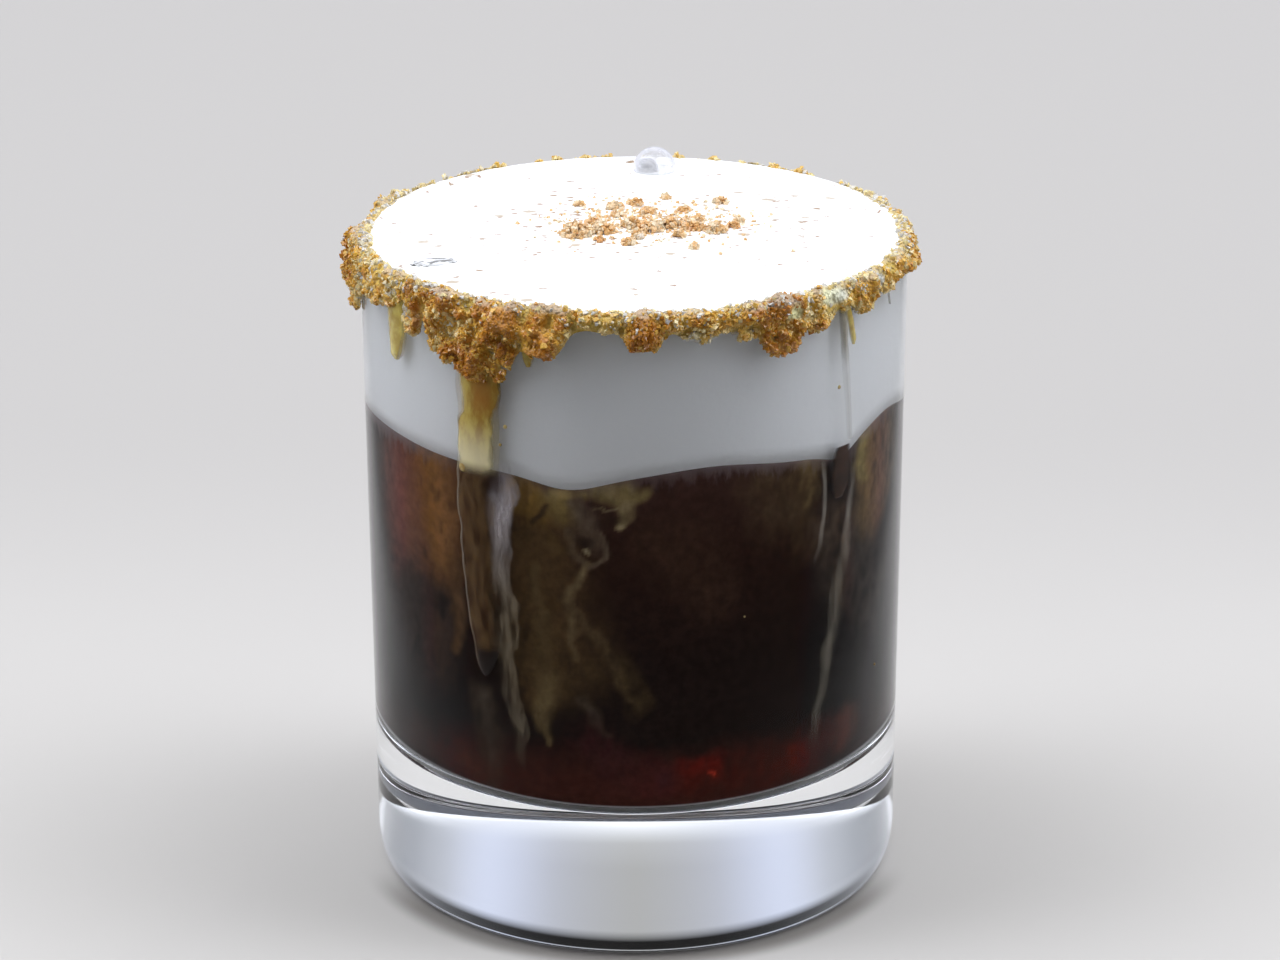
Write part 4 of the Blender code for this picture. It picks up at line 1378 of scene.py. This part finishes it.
def crystal_shapes():
    """A few irregular blocky crystals of size 1, each as its points and triangles."""
    draw = random.Random(CRYSTAL_SEED)
    shapes = []
    for _ in range(CRYSTAL_SHAPES):
        form = bmesh.new()
        for _ in range(CRYSTAL_CORNERS):
            way = Vector([draw.choice((-1, 1)) * draw.uniform(*CRYSTAL_BLOCKINESS) for _ in range(3)])
            form.verts.new(0.5 * way)
        bmesh.ops.convex_hull(form, input=form.verts)
        loose = [corner for corner in form.verts if not corner.link_faces]
        bmesh.ops.delete(form, geom=loose, context="VERTS")
        bmesh.ops.recalc_face_normals(form, faces=form.faces)
        form.verts.index_update()
        points = np.array([corner.co for corner in form.verts])
        faces = np.array([[corner.index for corner in face.verts] for face in form.faces])
        shapes.append((points, faces))
        form.free()
    return shapes


def scatter(name, places, material, slot, replaced):
    """One mesh of crystals, from (middle, size, tone) for each."""
    draw = random.Random(CRYSTAL_SEED)
    shapes = crystal_shapes()
    all_points, all_faces, tones = [], [], []
    count = 0
    for middle, size, tone in places:
        points, faces = draw.choice(shapes)
        turn = np.array(Euler([draw.uniform(0, math.tau) for _ in range(3)]).to_matrix())
        all_points.append(points @ turn.T * size + np.array(middle))
        all_faces.append(faces + count)
        tones += [tone] * len(points)
        count += len(points)
    piece = add_piece(name, np.concatenate(all_points), np.concatenate(all_faces), material, slot, replaced)
    piece.data.shade_flat()
    store(piece, "tone", tones)


def sugar_material(name, clear, pale, golden, dark):
    """Raw sugar: clear on top of the lip, pale where dry, golden or caramel where syrup soaks it."""
    made = Surface(name, transmission_weight=0.3, ior=1.5, specular_ior_level=0.5)
    tone = made.attribute("tone")
    light_gold = made.mix(made.spread(tone, *GOLDEN_TONES), srgb(*pale), srgb(*golden))
    colour = made.mix(made.spread(tone, *DARK_TONES), light_gold, srgb(*dark))
    colour = made.mix(made.spread(tone, *CLEAR_TONES), colour, srgb(*clear))
    made.set(base_color=colour)
    made.set(roughness=made.spread(made.noise("sugar grain"), *NOISE_WIDE, *SUGAR_ROUGHNESS))
    return made.material


def crust_places():
    """Grains over the crust, most where it is thick, and a few single clumps on the back of the lip."""
    draw = random.Random(CRYSTAL_SEED)
    longest = max(crust_length(angle) for angle in step_angles())
    places = []
    for _ in range(GRAIN_TRIES):
        angle = draw.uniform(-180, 180)
        along = draw.uniform(GRAIN_FROM, longest)
        if along > crust_length(angle) + draw.uniform(*GRAIN_OVERHANG):
            continue
        place, way = crust_path(angle, along)
        relief = crust_relief(angle, along, place)
        hidden = max(soaked_share(angle, place), CLEAR_HIDES * clear_share(angle, along))
        bareness = draw.uniform(*GRAIN_RELIEF) * (FRONT_BARENESS + (1 - FRONT_BARENESS) * back_share(angle))
        if relief < bareness or draw.random() < hidden:
            continue
        low, high = GRAIN_SIZES
        size = low + (high - low) * draw.random() ** GRAIN_FINENESS
        middle = place + way * (relief + size * draw.uniform(*GRAIN_RISE))
        tone = crust_tone(angle, place, relief) + draw.uniform(*GRAIN_TONE_SPREAD)
        if draw.random() < CLEAR_ON_TOP * smooth(CLEAR_REACH - along / OVER_LIP):
            tone = draw.uniform(*CLEAR_GRAIN_TONES)
        places.append((middle, size, tone))
    return places + back_places(draw)


def back_places(draw):
    """Single clumps of grains along the bare back of the lip."""
    places = []
    for angle, across in BACK_GRAINS:
        for _ in range(round(BACK_CLUMP_GRAINS * across**BACK_CLUMP_FILLING)):
            beside = math.degrees(0.5 * across * MM * draw.uniform(-1, 1) / RIM_OUTER_RADIUS)
            place, way = crust_path(angle + beside, draw.uniform(*BACK_CLUMP_ALONG) * MM)
            rise = BACK_CLUMP_RISE * across * MM * draw.random() * (1 - abs(beside) / across)
            size = draw.uniform(*BACK_GRAIN_SIZES) * MM
            places.append((place + way * rise, size, draw.uniform(*BACK_GRAIN_TONES)))
    return places


def make_crust():
    material = sugar_material("brown_sugar", *CRUST_SHADES)
    scatter("sugar_crystals", crust_places(), material, "sugar_crust", ["sugar_rim"])


def on_cream(x, y, rise):
    """The point above the cream's surface at that place."""
    return Vector((x, y, cream_top_height(angle_of(x, y), math.hypot(x, y)) + rise))


def crumb_grains(draw, x_mm, y_mm, across_mm):
    """The grains heaped into one crumb."""
    grains = []
    for _ in range(round(CRUMB_GRAINS * across_mm**CRUMB_FILLING)):
        turn = draw.uniform(0, math.tau)
        reach = math.sqrt(draw.random())
        x = (x_mm + 0.5 * across_mm * reach * math.cos(turn)) * MM
        y = (y_mm + 0.5 * across_mm * reach * math.sin(turn)) * MM
        rise = CRUMB_RISE * across_mm * MM * (1 - reach**2) * draw.random() ** 0.5
        size = draw.uniform(*CRUMB_GRAIN_SIZES)
        middle = on_cream(x, y, rise + size * draw.uniform(*CRUMB_GRAIN_RISE))
        patch = CRUMB_TONE_DEPTH * blotch(Vector((x, y, 0)), CRUMB_TONE_LENGTH, (0, 0, 0))
        grains.append((middle, size, CRUMB_TONE + patch + draw.uniform(*CRUMB_TONE_SPREAD)))
    return grains


def crumb_places():
    """Grains heaped into the crumbs on the cream, and loose ones among them."""
    draw = random.Random(CRUMB_SEED)
    places = []
    for crumb in CRUMB_CLUMPS:
        places += crumb_grains(draw, *crumb)
    for _ in range(CRUMB_DUST):
        x = draw.gauss(*CRUMB_BAND_X) * MM
        y = draw.gauss(*CRUMB_BAND_Y) * MM
        size = draw.uniform(*CRUMB_DUST_SIZES)
        places.append((on_cream(x, y, CRUMB_DUST_RISE * size), size, draw.uniform(*CRUMB_DUST_TONES)))
    return places


def make_crumbs():
    material = sugar_material("crumb_sugar", *CRUMB_SHADES)
    scatter("sugar_crumbs", crumb_places(), material, "sugar_crust", ["cream"])


def between(stations, widening):
    """More stations on smooth curves near the given ones, in metres and evenly spaced in height."""
    table = np.array(stations) * (1, MM, MM, MM) * (1, 1, widening, 1)
    heights = np.linspace(table[0, 1], table[-1, 1], FILM_ROWS)
    smoothed = np.array([np.interp(-heights, -table[:, 1], column) for column in table.T])
    for _ in range(FILM_SMOOTHING):
        inner = (smoothed[:, :-2] + 2 * smoothed[:, 1:-1] + smoothed[:, 2:]) / 4
        smoothed[:, 1:-1] = inner
    return smoothed.T


def make_film(name, seed, stations, material, replaced=(), widening=1.0):
    """A closed film on the outside of the glass, thickest along its middle. Its edges waver a little."""
    rows, acrosses = [], []
    shares = [2 * column / (FILM_COLUMNS - 1) - 1 for column in range(FILM_COLUMNS)]
    for angle, height, half_width, thickness in between(stations, widening):
        wall = outer_radius(height)
        wobble = 1 + FILM_WOBBLE * noise.noise(Vector((seed, height / FILM_WOBBLE_LENGTH, 0)))
        half_angle = math.degrees(half_width * wobble / wall)
        row = []
        for share in shares:
            out = thickness * (1 - share**2) ** FILM_FULLNESS
            row.append(around(angle + share * half_angle, wall + out, height))
        row += [around(angle + share * half_angle, wall - INTO_WALL, height) for share in reversed(shares)]
        rows.append(row)
        acrosses += shares + shares[::-1]
    piece = add_piece(name, *skin(rows), material, "syrup_film", replaced)
    store(piece, "across", acrosses)
    ends = [min(1.0, FADE_ROWS * min(row, FILM_ROWS - 1 - row) / FILM_ROWS) for row in range(FILM_ROWS)]
    store(piece, "fading", [end for end in ends for _ in range(2 * FILM_COLUMNS)])


def run_amber(made, across):
    """The run's colour over the cream: amber with a brown patch, paler lower down."""
    light, dark, patch, foot = (srgb(*shade) for shade in RUN_AMBERS)
    amber = made.mix(made.spread(made.noise("run blots"), *NOISE_NARROW), light, dark)
    middle = made.size(made.math("SUBTRACT", across, RUN_PATCH_MIDDLE))
    middle = made.spread(middle, *RUN_PATCH_EDGE, RUN_PATCH_SOLID, 0.0)
    amber = made.mix(made.times(middle, made.spread(made.z, *RUN_PATCH_FROM_MM)), amber, patch)
    return made.mix(made.spread(made.z, *RUN_PALE_FROM_MM, 0.0, RUN_PALENESS), amber, foot)


def run_brown(made, across, drop):
    """The run over the coffee: brown threads, a painted highlight on its left, a dark drop at its foot."""
    dark, light, line, foot = (srgb(*shade) for shade in RUN_BROWNS)
    brown = made.mix(made.spread(made.noise("run threads"), *NOISE_NARROW), dark, light)
    # Painted highlight along the run's left edge
    brown = made.mix(made.spread(across, *RUN_HIGHLIGHT_EDGE, 0.0, RUN_HIGHLIGHT_SOLID), brown, line)
    return made.mix(drop, brown, foot)


def run_material():
    """Syrup on the wall: amber over the cream, clear and brown over the coffee, dark at its foot."""
    made = Surface("syrup_run", roughness=0.2, specular_ior_level=0.15)
    across = made.attribute("across")
    over_coffee = made.spread(made.z, *RUN_COFFEE_FROM_MM)
    drop = made.times(made.spread(made.z, *RUN_DROP_FROM_MM), made.spread(across, *RUN_DROP_EDGE))
    amber = run_amber(made, across)
    brown = run_brown(made, across, drop)
    wander = made.spread(made.noise("run edges"), *NOISE_WIDE, -RUN_WANDER, RUN_WANDER)
    see_through = made.spread(made.math("ADD", across, wander), *RUN_COFFEE_EDGE, *RUN_COFFEE_SOLID)
    edge = made.size(made.math("ADD", across, made.times(wander, RUN_CREAM_WANDER)))
    over_cream = made.spread(edge, *RUN_CREAM_EDGE, *RUN_CREAM_SOLID)
    solid = made.mix(over_coffee, over_cream, see_through)
    solid = made.math("MAXIMUM", solid, made.times(drop, RUN_DROP_SOLID))
    made.set(base_color=made.mix(over_coffee, amber, brown), alpha=solid)
    return made.material


def drip_material(name, light, dark, solid, thins=None):
    """A short run of syrup, mottled between two shades, partly solid and perhaps thinner lower down."""
    made = Surface(name, roughness=0.15, specular_ior_level=0.25)
    blots = made.spread(made.noise("drip blots"), *NOISE_NARROW)
    edge = made.spread(made.size(made.attribute("across")), *DRIP_EDGE, solid, DRIP_EDGE_SOLID * solid)
    if thins:
        edge = made.times(edge, made.spread(made.z, *thins, GREY_LEAST, 1.0))
    made.set(base_color=made.mix(blots, srgb(*light), srgb(*dark)), alpha=edge)
    return made.material


def trace_material(name, shades, solids, sharp_from):
    """Milky wet trace, patchy and fainter low down, soft on its left and sharper on its right."""
    made = Surface(name, roughness=0.45, specular_ior_level=0.1)
    higher = made.spread(made.z, *TRACE_HEIGHTS)
    least = made.times(higher, TRACE_LEAST)
    patches = made.spread(made.noise("trace patches"), *TRACE_PATCH_NOISE)
    patches = made.times(patches, made.math("SUBTRACT", 1.0, least))
    patches = made.math("ADD", least, patches, clamp=True)
    wander = made.spread(made.noise("trace edges"), *NOISE_WIDE, -TRACE_WANDER, TRACE_WANDER)
    across = made.math("ADD", made.attribute("across"), wander)
    inside = made.spread(made.size(made.attribute("across")), *TRACE_EDGE, 1.0, 0.0)
    left = made.spread(across, *TRACE_SOFT_SIDE)
    right = made.spread(across, sharp_from, TRACE_SHARP_END, 1.0, 0.0)
    share = made.times(left, inside, right, patches, made.attribute("fading"))
    above, below = shades
    solid_above, solid_below = solids
    solid = made.spread(made.z, *TRACE_HEIGHTS, solid_below, solid_above)
    made.set(base_color=made.mix(higher, srgb(*below), srgb(*above)), alpha=made.times(share, solid))
    return made.material


def make_runs():
    rim = ["sugar_rim"]
    olive = drip_material("olive_syrup", *OLIVE_SYRUP)
    grey = drip_material("grey_syrup", *GREY_SYRUP, GREY_THINS_MM)
    films = (
        ("broad_run", BROAD_RUN, run_material(), rim),
        ("narrow_run", NARROW_RUN, grey, rim),
        ("short_drip", SHORT_DRIP, olive, rim),
        ("green_drip", GREEN_DRIP, olive, ()),
        ("second_drip", SECOND_DRIP, olive, ()),
        ("hair_drip", HAIR_DRIP, grey, ()),
        ("dark_notch", DARK_NOTCH, drip_material("dark_syrup", *DARK_SYRUP), ()),
    )
    for seed, (name, *film) in enumerate(films, 1):
        make_film(name, seed, *film)
    for name, seed, stations, *looks in TRACES:
        thick = [(*station, TRACE_THICKNESS) for station in stations]
        make_film(name, seed, thick, trace_material(name, *looks), widening=TRACE_WIDENING)


def make_beads():
    """Small half-round drops of syrup on the wall."""
    material = drip_material("bead_syrup", *BEAD_SYRUP)
    upright = Matrix.Rotation(math.radians(90), 4, "X")
    for number, (angle, height_mm, radius_mm) in enumerate(BEADS, 1):
        radius = radius_mm * MM
        profile = [(0, radius * BEAD_FLATNESS)]
        profile += arc(0, 0, radius, BEAD_TOP_ANGLE, 0, BEAD_STEPS)
        profile += [(radius, -INTO_WALL), (0, -INTO_WALL)]
        points, faces = lathe([(out, up * BEAD_FLATNESS) for out, up in profile], BEAD_SIDES)
        turn = Matrix.Rotation(math.radians(angle), 4, "Z") @ upright
        place = around(angle, outer_radius(height_mm * MM), height_mm * MM)
        points = [place + turn @ point for point in points]
        piece = add_piece(f"bead_{number}", points, faces, material, "syrup_film", flipped=True)
        store(piece, "across", [0.0] * len(points))


def bubble_material():
    """A thin film: faint from the front, whiter where it is seen edge on, a painted reflection on top of its
    gloss.
    """
    made = Surface("thin_film", base_color=srgb(*BUBBLE_SHADE), specular_ior_level=0.7)
    smears = made.noise("bubble smears")
    # Painted reflection that whitens the film edge on
    film = made.spread(made.facing(), *BUBBLE_FACING, *BUBBLE_FILM_AND_REFLECTION_SOLID)
    smeared = made.spread(smears, *NOISE_WIDE, *BUBBLE_SMEAR_SOLID)
    made.set(alpha=made.math("ADD", film, smeared))
    made.set(roughness=made.spread(smears, *BUBBLE_SMEAR_NOISE, 0.0, BUBBLE_ROUGHNESS))
    return made.material


def make_bubbles():
    """Half round bubbles of thin film that sit a little sunk in the cream."""
    for name, angle, from_axis_mm, radius_mm, replaced in BUBBLES:
        radius = radius_mm * MM
        from_axis = from_axis_mm * MM
        profile = arc(0, 0, radius, 90, -BUBBLE_SUNK, BUBBLE_ROWS)
        profile += arc(0, 0, radius - BUBBLE_FILM, -BUBBLE_SUNK, 90, BUBBLE_ROWS)
        points, faces = lathe(profile, BUBBLE_STEPS)
        middle = around(angle, from_axis, cream_top_height(angle, from_axis - radius) + BUBBLE_LIFT)
        points = [point + middle for point in points]
        add_piece(name, points, faces, bubble_material(), "syrup_film", replaced, flipped=True)


def floor_material():
    """Pale, with painted shade far back, at the sides where the tent lights it most, and towards the front."""
    made = Surface("pale_table", roughness=0.6, specular_ior_level=0.1)
    near, mottled, far, side_shade, front_shade, foot_shadow = (srgb(*shade) for shade in FLOOR_SHADES.values())
    near = made.mix(made.noise("table mottle"), near, mottled)
    # Painted shade far back
    pale = made.mix(made.spread(made.y, *FLOOR_FAR_MM), near, far)
    beside = made.math("SUBTRACT", made.size(made.x), made.times(made.y, FLOOR_SIDE_SLANT))
    # Painted shade at the sides and towards the front
    side_shaded = made.mix(made.spread(beside, *FLOOR_SIDE_MM), pale, side_shade)
    shaded = made.mix(made.spread(made.y, *FLOOR_FRONT_MM, FLOOR_FRONT_SHADE, 0.0), side_shaded, front_shade)
    # Painted contact shadow round the front of the foot
    near_foot = made.spread(made.vector("LENGTH", made.where), *FOOT_SHADE_MM, FOOT_SHADE, 0.0)
    contact = made.times(near_foot, made.spread(made.y, *FOOT_SHADE_FRONT_MM, 1.0, 0.0))
    made.set(base_color=made.mix(contact, shaded, foot_shadow))
    return made.material


def make_floor():
    """A pale flat table that goes on far past the view."""
    corners = ((-1, -1), (1, -1), (1, 1), (-1, 1))
    points = [(x * TABLE_REACH, y * TABLE_REACH, -TABLE_BELOW_GLASS) for x, y in corners]
    mesh = bpy.data.meshes.new("table")
    mesh.from_pydata(points, [], [(0, 1, 2, 3)])
    mesh.materials.append(floor_material())
    table = bpy.data.objects.new("table", mesh)
    bpy.context.scene.collection.objects.link(table)


def add_light(name, place, target, width, height, power):
    light = bpy.data.lights.new(name, "AREA")
    light.shape = "RECTANGLE"
    light.size = width
    light.size_y = height
    light.energy = power
    light.color = LAMP_COLOUR
    lamp = bpy.data.objects.new(name, light)
    lamp.location = place
    lamp.rotation_euler = (Vector(target) - Vector(place)).to_track_quat("-Z", "Y").to_euler()
    bpy.context.scene.collection.objects.link(lamp)


def light_studio():
    """A light tent: a broad panel overhead, cool walls brightest high at the sides, an open front."""
    below = (OVERHEAD_PLACE[0], OVERHEAD_PLACE[1], 0.0)
    add_light("overhead", OVERHEAD_PLACE, below, *OVERHEAD_SIZE, OVERHEAD_POWER)
    for place in SPARKLE_PLACES:
        add_light("sparkle", place, (0.0, 0.0, GLASS_HEIGHT), SPARKLE_SIZE, SPARKLE_SIZE, SPARKLE_POWER)
    world = bpy.data.worlds.new("studio")
    world.use_nodes = True
    made = Nodes(world.node_tree)
    x, y, z = made.parts(made.add("TexCoord").outputs["Generated"])
    turned = made.math("ARCTAN2", y, made.size(x))
    azimuth = made.spread(turned, -math.pi / 2, math.pi / 2, form="LINEAR")
    tent = made.ramp(azimuth, TENT_FOOT)
    for stops, elevations in ((TENT_WALL, WALL_FROM), (TENT_CEILING, CEILING_FROM)):
        low, high = (math.sin(math.radians(elevation)) for elevation in elevations)
        tent = made.mix(made.spread(z, low, high, form="LINEAR"), tent, made.ramp(azimuth, stops))
    background = world.node_tree.nodes["Background"]
    made.put(background.inputs["Color"], tent)
    made.put(background.inputs["Strength"], TENT_STRENGTH)
    bpy.context.scene.world = world


def make_camera():
    camera = bpy.data.cameras.new("camera")
    camera.lens = CAMERA_LENS
    camera.sensor_width = CAMERA_SENSOR
    camera.clip_start, camera.clip_end = CAMERA_CLIP
    view = bpy.data.objects.new("camera", camera)
    tilt = Matrix.Rotation(math.radians(90 - CAMERA_PITCH), 4, "X")
    roll = Matrix.Rotation(math.radians(CAMERA_ROLL), 4, "Z")
    view.matrix_world = Matrix.Translation(CAMERA_PLACE) @ tilt @ roll
    bpy.context.scene.collection.objects.link(view)
    bpy.context.scene.camera = view


def main():
    bpy.context.scene.view_settings.view_transform = "Standard"
    make_camera()
    light_studio()
    make_floor()
    make_glass()
    make_coffee()
    make_cream()
    make_lip_cream()
    make_blister()
    make_glaze()
    make_crust()
    make_runs()
    make_beads()
    make_crumbs()
    make_bubbles()


main()
